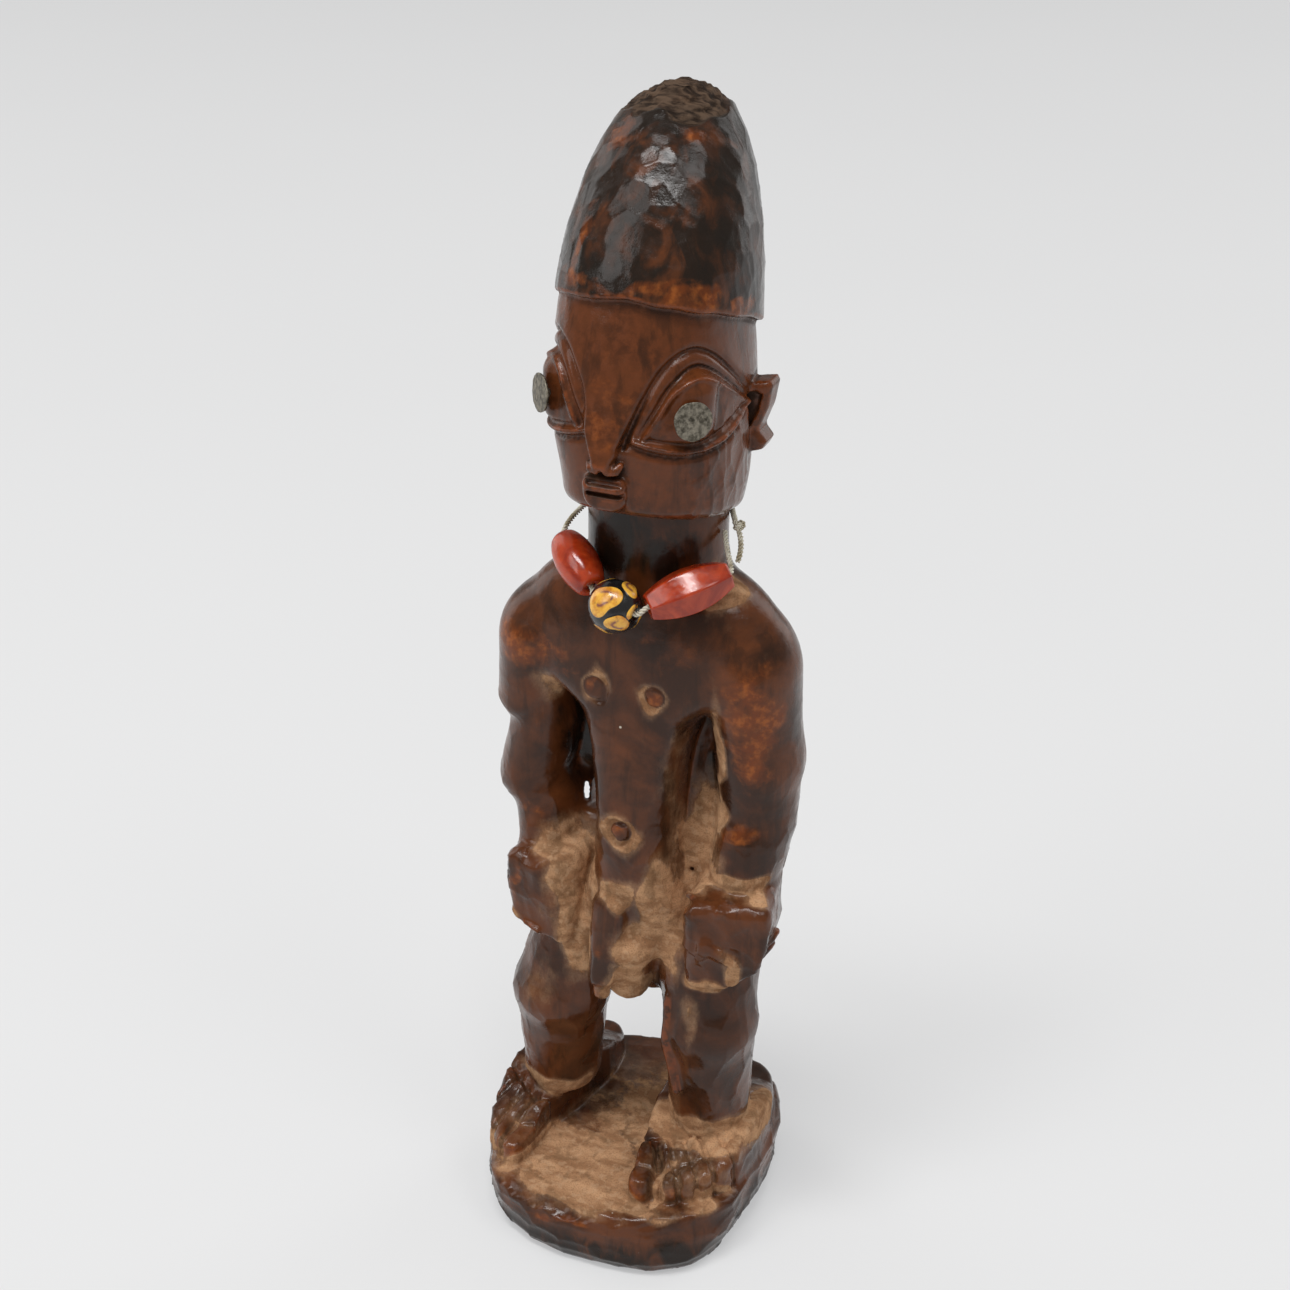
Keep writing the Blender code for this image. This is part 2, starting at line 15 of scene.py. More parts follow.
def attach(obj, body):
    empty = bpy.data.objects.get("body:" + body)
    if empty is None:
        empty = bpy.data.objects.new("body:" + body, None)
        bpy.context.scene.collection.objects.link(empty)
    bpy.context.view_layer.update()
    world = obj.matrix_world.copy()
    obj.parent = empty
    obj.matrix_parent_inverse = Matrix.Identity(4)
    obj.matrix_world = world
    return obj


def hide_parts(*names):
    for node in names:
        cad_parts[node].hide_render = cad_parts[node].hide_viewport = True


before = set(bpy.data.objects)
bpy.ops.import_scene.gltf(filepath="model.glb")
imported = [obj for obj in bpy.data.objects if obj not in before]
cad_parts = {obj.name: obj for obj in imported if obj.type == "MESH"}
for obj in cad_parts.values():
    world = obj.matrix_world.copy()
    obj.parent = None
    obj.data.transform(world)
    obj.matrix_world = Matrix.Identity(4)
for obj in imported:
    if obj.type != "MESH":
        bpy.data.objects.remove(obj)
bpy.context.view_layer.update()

MM = 0.001
DOLL_HEIGHT = 270.0
# The grid that the carving is worked out on: its corners, the size of a cell and cells in a block.
GRID_LOW = (-41.0, -41.0, -2.0)
GRID_HIGH = (41.0, 44.0, 275.0)
VOXEL = 0.44
BLOCK = 4
# How far out a hollow is looked for, how far in an edge is, and the height where the face starts.
HOLLOW_REACH = 2.6
EDGE_REACH = 1.6
FACE_STARTS = 184.0

# ---- carving: shapes ----

# Plinth outline, anticlockwise from its +X edge, at its top and at its underside.
PLINTH_TOP = (
    (29.4, -4.0), (30.0, 8.0), (28.6, 19.0), (22.6, 30.0), (12.0, 35.6), (-2.0, 36.4),
    (-13.0, 35.0), (-22.0, 31.5), (-30.4, 21.0), (-34.4, 8.0), (-35.2, -7.0), (-32.8, -18.5),
    (-28.0, -27.8), (-19.5, -32.8), (-7.0, -34.8), (3.0, -33.9), (12.5, -31.4), (20.5, -26.6),
    (25.6, -21.6), (28.8, -15.2),
)
PLINTH_BOTTOM = (
    (28.4, -2.0), (27.2, 10.0), (24.0, 21.0), (19.0, 30.0), (10.0, 34.0), (-2.0, 34.6),
    (-13.0, 33.4), (-21.5, 30.0), (-28.5, 20.0), (-31.8, 8.0), (-33.6, -6.0), (-32.6, -17.2),
    (-28.8, -26.0), (-21.6, -31.8), (-9.0, -35.2), (2.5, -35.2), (14.0, -33.4), (22.4, -28.4),
    (26.6, -21.2), (28.2, -12.2),
)
# Height, share of the top outline and swell of each level of the plinth.
PLINTH_LEVELS = (
    (0.0, 0.0, 0.925), (1.6, 0.0, 0.965), (4.0, 0.1, 0.995),
    (9.0, 0.55, 1.015), (14.0, 0.95, 1.01), (16.2, 1.0, 0.99),
)
PLINTH_HEIGHT = 16.2
PLINTH_CENTRE = (-2.0, 0.0)

# Lofts: height, half width, front, back, middle and squareness of each section.
TORSO = (
    (59.0, 8.0, -1.0, 12.0, -1.0, 2.2),
    (63.0, 13.0, -4.0, 16.0, -0.8, 2.3),
    (69.0, 18.6, -7.0, 19.0, -0.5, 2.4),
    (78.0, 18.6, -10.0, 20.5, 0.0, 2.4),
    (88.0, 14.0, -13.0, 17.5, 0.2, 2.5),
    (98.0, 10.6, -15.0, 15.5, 0.3, 2.5),
    (110.0, 9.7, -15.6, 13.5, 0.3, 2.5),
    (120.0, 10.0, -15.2, 13.5, 0.2, 2.5),
    (130.0, 11.6, -14.0, 14.5, 0.0, 2.5),
    (138.0, 15.6, -12.9, 15.0, 0.0, 2.5),
    (145.0, 27.0, -12.4, 18.0, -0.6, 2.4),
    (153.0, 31.2, -11.8, 18.5, -0.3, 2.4),
    (160.0, 28.8, -10.6, 17.5, 0.2, 2.3),
    (166.0, 23.4, -8.6, 16.0, 0.0, 2.2),
    (170.5, 16.4, -5.0, 14.0, -0.4, 2.0),
)
NECK = (
    (160.0, 15.8, -9.4, 20.4, 0.5, 2.1),
    (176.0, 15.2, -9.0, 20.0, 0.6, 2.1),
    (192.0, 15.2, -9.0, 20.5, 0.6, 2.1),
)
HEAD = (
    (174.0, 14.0, -15.5, 20.0, 1.2, 2.2),
    (182.0, 16.6, -18.6, 23.0, 1.6, 2.4),
    (190.0, 18.0, -20.4, 25.0, 1.7, 2.4),
    (197.0, 18.6, -20.8, 26.0, 1.3, 2.4),
    (207.0, 19.4, -20.6, 28.2, 0.4, 2.6),
    (216.0, 19.2, -19.4, 30.0, -0.3, 2.6),
    (226.0, 18.4, -16.8, 31.0, -0.8, 2.5),
    (238.0, 17.6, -13.0, 30.0, -0.6, 2.3),
)
# The underside of the jaw: a point on it and the direction that it faces.
JAW = (((0.0, -20.0, 190.2), (0.0, -0.26, -0.966)),)
CAP = (
    (204.0, 19.8, -17.6, 31.4, 0.0, 2.3),
    (226.0, 20.2, -17.8, 32.2, 0.0, 2.3),
    (234.6, 20.0, -16.2, 32.8, 0.0, 2.2),
    (246.0, 18.4, -10.0, 32.8, -0.2, 2.2),
    (255.6, 15.8, -3.0, 32.4, -0.3, 2.1),
    (261.6, 13.0, 3.0, 30.8, -0.4, 2.1),
    (265.4, 10.4, 7.8, 29.6, -0.4, 2.0),
    (268.0, 7.4, 11.6, 27.0, 0.0, 2.0),
    (270.0, 4.0, 14.0, 22.4, 0.3, 2.0),
)
# The cap's rim: the y and height of its front and of its back.
RIM_FRONT = (-16.2, 234.2)
RIM_BACK = (33.0, 216.5)
CROWN_CENTRE = (-0.4, 18.6)
CROWN_HEIGHT = 264.6

# Limbs: centre and radii of the rounded form at each end, and how softly it joins.
LIMBS = (
    ((14.6, 3.0, 76.0), (12.4, 14.0, 12.0), (17.6, -2.0, 56.0), (10.4, 12.0, 9.0), 3.0),
    ((17.6, -2.0, 56.0), (10.2, 12.0, 9.0), (16.4, 0.6, 28.0), (9.6, 10.6, 8.0), 3.0),
    ((-15.2, 3.0, 76.0), (12.6, 14.0, 12.0), (-20.6, -2.4, 56.0), (11.2, 12.2, 9.0), 3.0),
    ((-20.6, -2.4, 56.0), (11.0, 12.2, 9.0), (-22.6, 1.0, 30.0), (9.2, 10.5, 8.0), 3.0),
    ((8.5, 14.0, 82.0), (9.5, 9.5, 9.5), (10.0, 10.0, 70.0), (10.0, 10.0, 9.0), 2.0),
    ((-8.5, 14.0, 82.0), (9.5, 9.5, 9.5), (-10.0, 10.0, 70.0), (10.0, 10.0, 9.0), 2.0),
    ((24.0, 3.5, 147.0), (10.4, 13.0, 14.0), (25.8, 4.5, 126.0), (9.0, 11.5, 9.0), 2.5),
    ((25.8, 4.2, 126.0), (9.2, 11.5, 9.0), (25.8, 4.0, 114.0), (8.8, 10.8, 8.0), 3.0),
    ((25.6, 2.4, 108.0), (8.6, 11.6, 8.0), (24.6, -0.8, 98.0), (7.9, 10.0, 8.0), 3.0),
    ((-15.4, 8.6, 142.0), (5.6, 5.6, 8.0), (-15.8, 8.6, 117.5), (5.4, 5.2, 5.0), 3.0),
    ((-18.6, 8.0, 110.0), (3.4, 5.0, 6.0), (-19.8, 5.6, 98.0), (3.2, 5.0, 5.0), 3.0),
    ((-25.0, 3.0, 148.0), (10.8, 13.0, 12.4), (-27.2, 3.8, 133.0), (9.6, 12.0, 7.0), 2.5),
    ((-25.0, 4.4, 129.0), (8.2, 12.0, 9.0), (-28.8, 4.8, 111.0), (9.0, 12.0, 6.8), 3.0),
    ((-25.2, 3.6, 107.0), (7.6, 11.2, 8.0), (-23.2, -0.8, 94.0), (7.2, 9.6, 8.0), 3.0),
)
LOINS = (
    ((-3.4, -12.4, 88.0), (4.6, 3.8, 4.5), (-5.2, -14.2, 70.0), (3.4, 3.2, 3.0), 1.0),
    ((-5.2, -14.4, 69.0), (2.2, 2.2, 2.6), (-5.0, -14.6, 65.4), (1.8, 1.8, 1.8), 0.5),
    ((-0.6, -8.0, 76.0), (7.0, 7.0, 8.0), (-1.6, -7.4, 66.0), (5.4, 5.0, 5.0), 1.5),
)
EYEBALLS = (
    ((12.4, -9.4, 215.4), (6.9, 6.6, 5.6), (12.0, -10.4, 208.6), (7.0, 7.0, 5.0), 1.0),
    ((-12.2, -9.0, 215.4), (6.8, 6.4, 5.6), (-11.6, -10.0, 208.6), (6.8, 6.8, 5.0), 1.0),
)
# Blocks: centre, half sizes, turn about Z, tilt about X, share of rounding, how softly it joins.
WEBS = (
    ((16.0, 4.4, 116.0), (6.5, 3.5, 30.0), 0.0, -13.0, 0.5, 1.5),
    ((-17.0, 0.8, 85.6), (7.5, 5.0, 18.0), 0.0, -14.0, 0.5, 2.5),
)
MOUTH = ((0.1, -19.9, 195.6), (4.7, 3.7, 3.8), 0.0, 6.0, 0.5, 1.2)
MOUTH_CUTS = (
    ((3.6, -23.0, 192.8), (0.66, -0.3, -0.7)),
    ((-3.2, -23.0, 192.8), (-0.66, -0.3, -0.7)),
)
LIPS = (
    ((0.9, -23.8, 198.0), (4.3, 1.3, 0.5), 0.0, 6.0, 0.9),
    ((0.9, -23.4, 195.7), (4.3, 1.3, 0.5), 0.0, 6.0, 0.9),
)
# Hands: a block, and the flat cuts that shape it, each a point and an outward direction.
LEFT_HAND = ((23.6, -5.4, 86.6), (10.0, 10.8, 12.2), 12.0, 5.0, 0.3, 0.8)
LEFT_HAND_CUTS = (
    ((29.0, -12.0, 77.6), (0.62, 0.0, -0.78)),
    ((33.0, -8.0, 84.0), (0.95, 0.1, -0.3)),
    ((14.0, -14.0, 92.0), (-0.86, -0.1, 0.5)),
)
RIGHT_HAND = ((-20.6, -5.0, 87.0), (8.2, 9.6, 11.6), -10.0, 5.0, 0.4, 1.2)
RIGHT_HAND_CUTS = (
    ((-27.0, -8.0, 77.6), (-0.5, -0.1, -0.86)),
    ((-15.0, -12.0, 88.0), (0.6, -0.75, 0.1)),
)
# Feet: footprint corners from the toes back, then grooves seen from above with their depth and width.
LEFT_FOOT = (
    (6.4, -26.2), (12.6, -25.4), (18.6, -22.6), (24.6, -17.6), (28.8, -9.0), (29.0, 10.0),
    (22.6, 26.6), (10.0, 27.6), (3.6, 14.0), (2.6, 0.0), (4.4, -14.0),
)
LEFT_TOES = (
    (((8.4, -13.6), (11.2, -20.0), (11.8, -27.0)), 1.9, 0.9),
    (((8.8, -13.6), (12.4, -20.0), (13.8, -26.0)), 1.9, 0.9),
    (((11.6, -12.0), (15.2, -18.0), (19.0, -24.4)), 1.3, 0.75),
    (((14.6, -11.0), (18.4, -15.6), (22.4, -21.4)), 1.1, 0.7),
    (((17.4, -9.0), (21.0, -12.6), (25.4, -17.6)), 1.0, 0.65),
    (((19.6, -6.0), (23.6, -8.8), (28.6, -12.4)), 0.9, 0.65),
    (((4.6, -13.0), (9.0, -11.6), (14.0, -10.8), (19.4, -6.8), (25.0, -2.0)), 0.9, 0.6),
    (((13.4, -19.6), (18.0, -16.4), (22.0, -11.6), (26.0, -6.4)), 0.6, 0.5),
    (((6.0, -20.6), (8.6, -20.2), (10.6, -20.8)), 0.6, 0.5),
)
RIGHT_FOOT = (
    (-27.8, -25.6), (-22.6, -24.4), (-21.0, -10.0), (-17.6, 4.0), (-15.4, 16.0),
    (-17.0, 26.0), (-23.5, 29.4), (-32.6, 19.0), (-36.2, 4.0), (-35.4, -13.0), (-32.0, -21.6),
)
RIGHT_TOES = (
    (((-24.8, -9.6), (-26.6, -16.0), (-27.8, -27.0)), 1.4, 0.8),
    (((-28.0, -8.6), (-30.0, -14.0), (-32.0, -24.0)), 1.0, 0.7),
    (((-30.6, -6.0), (-33.0, -10.0), (-36.4, -17.0)), 0.9, 0.65),
    (((-20.6, -9.0), (-24.6, -10.4), (-29.0, -8.0), (-35.0, -3.0)), 0.8, 0.6),
    (((-22.6, -17.6), (-25.0, -18.4)), 0.7, 0.5),
)
FOOT_TOP = (22.0, 28.2)

# The eyelids, drawn on the head as it would unroll: millimetres round from its front, and height.
BROW_LINE = (
    (2.6, 205.4), (4.6, 211.4), (7.0, 217.2), (10.2, 221.8),
    (14.8, 223.8), (20.0, 222.0), (27.0, 216.8), (36.0, 209.6),
)
LID_LINE = (
    (5.2, 207.4), (7.8, 212.8), (10.8, 217.8), (15.0, 220.4), (19.6, 218.8), (26.4, 214.2), (35.6, 208.2),
)
RIM_LINE = (
    (6.2, 207.6), (8.7, 212.6), (11.4, 217.0), (15.0, 219.1), (18.8, 217.6), (25.2, 213.0), (34.6, 207.4),
)
LOWER_LINE = ((4.4, 206.8), (8.4, 205.4), (13.0, 204.3), (18.4, 204.1), (25.4, 205.2), (34.6, 207.8))
UNDER_LINE = ((4.0, 205.4), (8.4, 203.8), (13.2, 202.7), (18.8, 202.5), (26.0, 203.8), (35.6, 207.2))
INNER_LINE = ((6.4, 207.2), (9.4, 206.4), (13.4, 205.5), (18.2, 205.4), (24.4, 206.4), (32.6, 207.8))
FACE_ROUND = 20.0
FACE_AXIS = 5.0
FACE_LOW = (-30.0, -30.0, 199.0)
FACE_HIGH = (30.0, 20.0, 228.0)

# Rings round the nipples and the navel: centre, radius.
BOSSES = (
    ((-7.2, -12.7, 144.4), 3.1),
    ((6.9, -12.5, 144.8), 2.7),
    ((0.1, -15.4, 110.8), 2.8),
)
# Grooves and ridges: points with the radius there, and how softly each joins.
NOSE_SIDE = (
    (7.4, -20.6, 215.0, 0.8), (5.8, -21.8, 209.4, 0.9), (4.4, -22.4, 204.8, 1.0), (4.8, -22.2, 202.6, 0.6),
)
CUTS = (
    *((tuple((side * x, *rest) for x, *rest in NOSE_SIDE), 1.8) for side in (1, -1)),
    (((12.8, -7.4, 97.1, 0.75), (12.6, -1.0, 97.1, 0.75)), 0.2),
    (
        (
            (19.6, -9.6, 113.0, 1.0), (23.4, -11.2, 111.8, 2.2),
            (29.0, -10.6, 111.4, 1.6), (33.4, -6.6, 112.0, 0.6),
        ),
        1.0,
    ),
    (((-21.4, -8.6, 134.0, 0.8), (-27.4, -8.8, 129.0, 1.0), (-33.0, -5.4, 125.6, 0.8)), 2.4),
    (
        ((0.0, 20.6, 166.0, 1.2), (0.0, 20.6, 145.0, 1.8), (0.0, 16.4, 120.0, 1.8), (0.0, 19.4, 96.0, 1.4)),
        3.0,
    ),
    (((0.0, 24.6, 86.0, 1.6), (0.0, 25.2, 74.0, 2.2), (0.0, 19.0, 66.0, 2.0)), 2.0),
)
RIDGES = (
    (((10.0, -11.0, 66.0, 0.5), (9.8, -12.0, 54.0, 0.8), (12.8, -12.6, 40.0, 0.6)), 2.4),
    (((-1.2, -23.2, 200.6, 0.7), (-2.6, -22.6, 200.8, 0.9), (-3.4, -21.8, 201.6, 0.6)), 0.9),
    (((1.2, -23.2, 200.6, 0.7), (2.8, -22.6, 201.0, 1.0), (3.6, -21.8, 202.0, 0.7)), 0.9),
    (((-28.6, -9.6, 80.4, 0.9), (-25.0, -13.0, 78.6, 1.1), (-21.6, -14.0, 78.0, 0.9)), 0.6),
    (((16.0, -13.6, 97.4, 0.9), (24.0, -16.4, 96.4, 1.2), (31.6, -12.8, 95.2, 0.9)), 0.8),
    (((19.0, -15.6, 96.0, 0.9), (21.4, -16.8, 87.0, 1.7), (16.8, -14.6, 77.6, 1.0)), 1.0),
    (((21.4, -16.8, 87.0, 1.2), (27.6, -15.4, 83.4, 1.5), (31.6, -10.4, 82.0, 0.8)), 1.0),
    (((32.8, -7.4, 84.6, 0.8), (33.4, -3.0, 85.6, 0.8)), 0.5),
    (((32.0, -8.0, 81.6, 0.8), (32.6, -3.6, 82.4, 0.8)), 0.5),
)
# Chips along the front of the plinth's top edge.
EDGE_CHIPS = (
    ((-33.0, -25.6, 13.6, 0.4), (-30.6, -27.8, 15.4, 1.9), (-27.0, -28.0, 17.2, 0.4)),
    ((-29.6, -30.4, 12.6, 0.4), (-26.6, -31.4, 14.6, 2.1), (-21.6, -30.2, 17.0, 0.4)),
    ((-25.4, -33.0, 12.8, 0.4), (-21.0, -33.6, 14.8, 2.2), (-16.4, -31.6, 16.8, 0.4)),
    ((-19.4, -34.8, 12.2, 0.4), (-15.0, -35.0, 14.4, 2.0), (-9.4, -32.6, 16.8, 0.4)),
    ((-13.0, -36.0, 12.8, 0.4), (-9.0, -35.8, 14.8, 2.2), (-3.6, -33.4, 16.8, 0.4)),
    ((-6.0, -36.4, 12.4, 0.4), (-1.6, -36.0, 14.6, 2.0), (4.0, -33.4, 16.8, 0.4)),
    ((1.0, -36.2, 13.0, 0.4), (6.0, -35.0, 14.8, 1.8), (11.6, -31.4, 16.6, 0.4)),
    ((9.4, -34.2, 13.2, 0.4), (14.6, -31.8, 14.8, 1.6), (20.0, -27.0, 16.6, 0.4)),
)
# A thin gap of light behind the right arm: holes one below another, with their radii in front and behind.
SLIT = tuple(
    (
        (-9.4, -12.0, 119.8 - 1.2 * step, front),
        (-12.5, -5.2, 115.2 - 1.2 * step, front),
        (-21.9, 15.4, 101.4 - 1.2 * step, back),
    )
    for step, (front, back) in enumerate(((0.3, 0.9), (0.4, 1.0), (0.4, 1.0), (0.3, 0.9)))
)
CHIPPED_EDGE = (
    (-31.6, -25.8, 18.2, 2.6), (-26.0, -31.4, 18.0, 3.6), (-19.6, -34.6, 17.6, 4.4),
    (-13.4, -35.4, 17.2, 3.4), (-7.0, -36.2, 17.6, 5.0), (-1.0, -37.0, 17.4, 4.0),
    (6.0, -36.0, 17.8, 4.0), (13.0, -33.6, 18.0, 2.6), (20.0, -29.6, 18.4, 2.2),
)


# How a form is used: joined on, cut away, or added to the height of what is there.
JOIN, CUT, RAISE = "join", "cut", "raise"


def smooth_min(a, b, blend):
    """The lower of two distances, rounded over where they are within blend of each other."""
    h = np.maximum(blend - np.abs(a - b), 0) / blend
    return np.minimum(a, b) - h * h * blend / 4


def smooth_max(a, b, blend):
    """The higher of two distances, rounded over in the same way."""
    return -smooth_min(-a, -b, blend)


def limb(row):
    """A rounded form that changes from one ellipsoid into another: (distance, lowest, highest)."""
    a, ra, b, rb = (np.array(v, np.float32) for v in row[:4])
    scale = (ra + rb) / 2
    axis = (b - a) / scale

    def distance(p):
        t = np.clip(((p - a) / scale) @ (axis / (axis @ axis)), 0, 1)[:, None]
        r = ra + (rb - ra) * t
        q = (p - a - (b - a) * t) / r
        outward = np.linalg.norm(q, axis=1)
        steepness = np.linalg.norm(q / r, axis=1)
        return outward * (outward - 1) / np.maximum(steepness, 1e-6)

    return distance, np.minimum(a - ra, b - rb), np.maximum(a + ra, b + rb)


def block(row, rounding):
    """A turned and tilted box with rounded edges."""
    centre = np.array(row[0], np.float32)
    half = np.array(row[1], np.float32)
    radius = rounding * half.min()
    turn = Matrix.Rotation(math.radians(row[2]), 3, "Z")
    tilt = Matrix.Rotation(math.radians(row[3]), 3, "X")
    axes = np.array(turn @ tilt, np.float32)

    def distance(p):
        q = np.abs((p - centre) @ axes) - (half - radius)
        return np.linalg.norm(np.maximum(q, 0), axis=1) + np.minimum(q.max(axis=1), 0) - radius

    reach = np.abs(axes) @ half
    return distance, centre - reach, centre + reach


def trimmed(shape, cuts, blend=1.0):
    """A shape with flat cuts, each given by a point on it and the direction that it faces."""
    inner, low, high = shape
    planes = [(np.array(point, np.float32), np.array(facing, np.float32)) for point, facing in cuts]

    def distance(p):
        result = inner(p)
        for point, facing in planes:
            result = smooth_max(result, (p - point) @ (facing / np.linalg.norm(facing)), blend)
        return result

    return distance, low, high


def strand(points):
    """A round-ended tube through points that each have a radius."""
    rows = np.array(points, np.float32)

    def distance(p):
        best = np.full(len(p), 2 * REACH, np.float32)
        for a, b in zip(rows, rows[1:]):
            along = (b - a)[:3]
            t = np.clip((p - a[:3]) @ along / (along @ along), 0, 1)
            gap = np.linalg.norm(p - a[:3] - t[:, None] * along, axis=1) - a[3] - (b[3] - a[3]) * t
            best = np.minimum(best, gap)
        return best

    widest = rows[:, 3].max()
    return distance, rows[:, :3].min(axis=0) - widest, rows[:, :3].max(axis=0) + widest


def ring(centre, radius, thickness):
    """A ring that stands upright, facing the front."""
    middle = np.array(centre, np.float32)
    reach = radius + thickness

    def distance(p):
        q = p - middle
        around = np.hypot(q[:, 0], q[:, 2])
        angle = np.arctan2(q[:, 2], q[:, 0])
        uneven = radius + 0.22 * np.sin(3 * angle + centre[0]) + 0.14 * np.sin(5 * angle + centre[2])
        return np.hypot(around - uneven, q[:, 1]) - thickness

    return distance, middle - reach, middle + reach


def section_rows(table, step=1.5):
    """Rows between those of the table, blended smoothly, for a loft without creases."""
    rows = np.array(table)
    heights = rows[:, 0]
    slopes = np.gradient(rows, heights, axis=0)
    result = []
    for k in range(len(rows) - 1):
        span = heights[k + 1] - heights[k]
        parts = math.ceil(span / step)
        for t in np.arange(parts) / parts:
            h00, h10 = 2 * t**3 - 3 * t**2 + 1, t**3 - 2 * t**2 + t
            h01, h11 = -2 * t**3 + 3 * t**2, t**3 - t**2
            result.append(
                h00 * rows[k] + h10 * span * slopes[k]
                + h01 * rows[k + 1] + h11 * span * slopes[k + 1]
            )
    result.append(rows[-1])
    return np.array(result, np.float32)


def loft(table):
    """A body whose level sections are superellipses read from the table."""
    rows = section_rows(table)
    heights = rows[:, 0]
    slopes = np.gradient(rows, heights, axis=0)

    def distance(p):
        x, y, z = p.T
        level = np.clip(z, heights[0], heights[-1])
        width, front, back, middle, power = (
            np.interp(level, heights, rows[:, k]).astype(np.float32) for k in range(1, 6)
        )
        dwidth, dfront, dback, dmiddle = (
            np.interp(level, heights, slopes[:, k]).astype(np.float32) for k in range(1, 5)
        )
        depth = (back - front) / 2
        sideways = x - middle
        forward = y - (back + front) / 2
        u = np.abs(sideways) / width
        v = np.abs(forward) / depth
        g = np.maximum((u**power + v**power) ** (1 / power), 1e-4)
        pull_u = (u / g) ** (power - 1)
        pull_v = (v / g) ** (power - 1)
        rise = pull_u * (np.sign(sideways) * dmiddle + u * dwidth) / width
        rise += pull_v * (np.sign(forward) * (dback + dfront) / 2 + v * (dback - dfront) / 2) / depth
        steepness = np.sqrt((pull_u / width) ** 2 + (pull_v / depth) ** 2 + rise**2)
        side = (g - 1) / np.maximum(steepness, 1e-6)
        return np.maximum(side, np.maximum(heights[0] - z, z - heights[-1]))

    wide = rows[:, 1].max() + np.abs(rows[:, 4]).max()
    low = np.array((-wide, rows[:, 2].min(), heights[0]), np.float32)
    high = np.array((wide, rows[:, 3].max(), heights[-1]), np.float32)
    return distance, low, high


def smooth_line(points, per_side=8, closed=False):
    """A smooth line through the points."""
    rows = np.array(points, float)
    count = len(rows)
    result = []
    for k in range(count if closed else count - 1):
        picks = [(k + j) % count if closed else min(max(k + j, 0), count - 1) for j in (-1, 0, 1, 2)]
        a, b, c, d = rows[picks]
        for t in np.arange(per_side) / per_side:
            curve = (2 * b) + (c - a) * t
            curve += (2 * a - 5 * b + 4 * c - d) * t**2
            curve += (3 * b - a - 3 * c + d) * t**3
            result.append(0.5 * curve)
    if not closed:
        result.append(rows[-1])
    return np.array(result)


def outline(points, centre):
    """A flat outline seen from its centre, as the radius at each angle."""
    offsets = smooth_line(points, closed=True) - centre
    angles = np.arctan2(offsets[:, 1], offsets[:, 0])
    order = np.argsort(angles)
    even = np.linspace(-np.pi, np.pi, 361)
    return even, np.interp(even, angles[order], np.hypot(*offsets[order].T), period=2 * np.pi)


def plinth():
    """The base: its outline changes from the lower one to the upper one, under a worn top."""
    angles, top = outline(PLINTH_TOP, PLINTH_CENTRE)
    _, bottom = outline(PLINTH_BOTTOM, PLINTH_CENTRE)
    levels = np.array(PLINTH_LEVELS)

    def distance(p):
        x, y, z = p.T
        share = np.interp(z, levels[:, 0], levels[:, 1])
        swell = np.interp(z, levels[:, 0], levels[:, 2])
        angle = np.arctan2(y - PLINTH_CENTRE[1], x - PLINTH_CENTRE[0])
        low_radius = np.interp(angle, angles, bottom)
        high_radius = np.interp(angle, angles, top)
        radius = (low_radius * (1 - share) + high_radius * share) * swell
        side = (np.hypot(x - PLINTH_CENTRE[0], y - PLINTH_CENTRE[1]) - radius) * 0.97
        worn = 0.35 * np.sin(0.17 * x + 0.6) * np.sin(0.14 * y - 0.4)
        lid = smooth_max(side, z - PLINTH_HEIGHT + 0.3 + worn, 1.8)
        return smooth_max(lid, -z, 0.9).astype(np.float32)

    return distance, np.array((-38.0, -38.0, 0.0)), np.array((33.0, 39.0, PLINTH_HEIGHT))


def foot(points, grooves):
    """A flat-soled foot whose top slopes up to the ankle, with grooves between the toes."""
    corners = np.array(points)
    centre = corners.mean(axis=0)
    angles, radii = outline(points, centre)
    toes = corners[:, 1].min()

    def distance(p):
        x, y, z = p.T
        across = x - centre[0]
        along = y - centre[1]
        side = (np.hypot(across, along) - np.interp(np.arctan2(along, across), angles, radii)) * 0.93
        climb = np.clip((y - toes - 3) / 24, 0, 1)
        top = FOOT_TOP[0] + (FOOT_TOP[1] - FOOT_TOP[0]) * climb * climb * (3 - 2 * climb)
        fall = np.clip((y - centre[1] - 8) / 16, 0, 1) * 6
        result = smooth_max(side + 0.06 * (z - 16), (z - top + fall) * 0.96, 2.0)
        for line, depth, width in grooves:
            result = result + depth * mark(line_distance(x, y, line), width)
        return result.astype(np.float32)

    low = np.array((*corners.min(axis=0), 12.0))
    high = np.array((*corners.max(axis=0), FOOT_TOP[1]))
    return distance, low, high


def cap_rim(p):
    """How far a point is below the cap's sloping, slightly wavy rim."""
    run = RIM_BACK[0] - RIM_FRONT[0]
    fall = RIM_FRONT[1] - RIM_BACK[1]
    x, y, z = p.T
    wave = 0.3 * np.sin(0.31 * x + 1.0) + 0.15 * np.sin(0.55 * x + 0.4 * y)
    return (RIM_FRONT[1] - (y - RIM_FRONT[0]) * fall / run + wave - z) * run / math.hypot(run, fall)


def cap():
    """The tall cap, cut off at its sloping rim."""
    inner, low, high = loft(CAP)

    def distance(p):
        return smooth_max(inner(p), cap_rim(p), 0.8)

    return distance, low, high


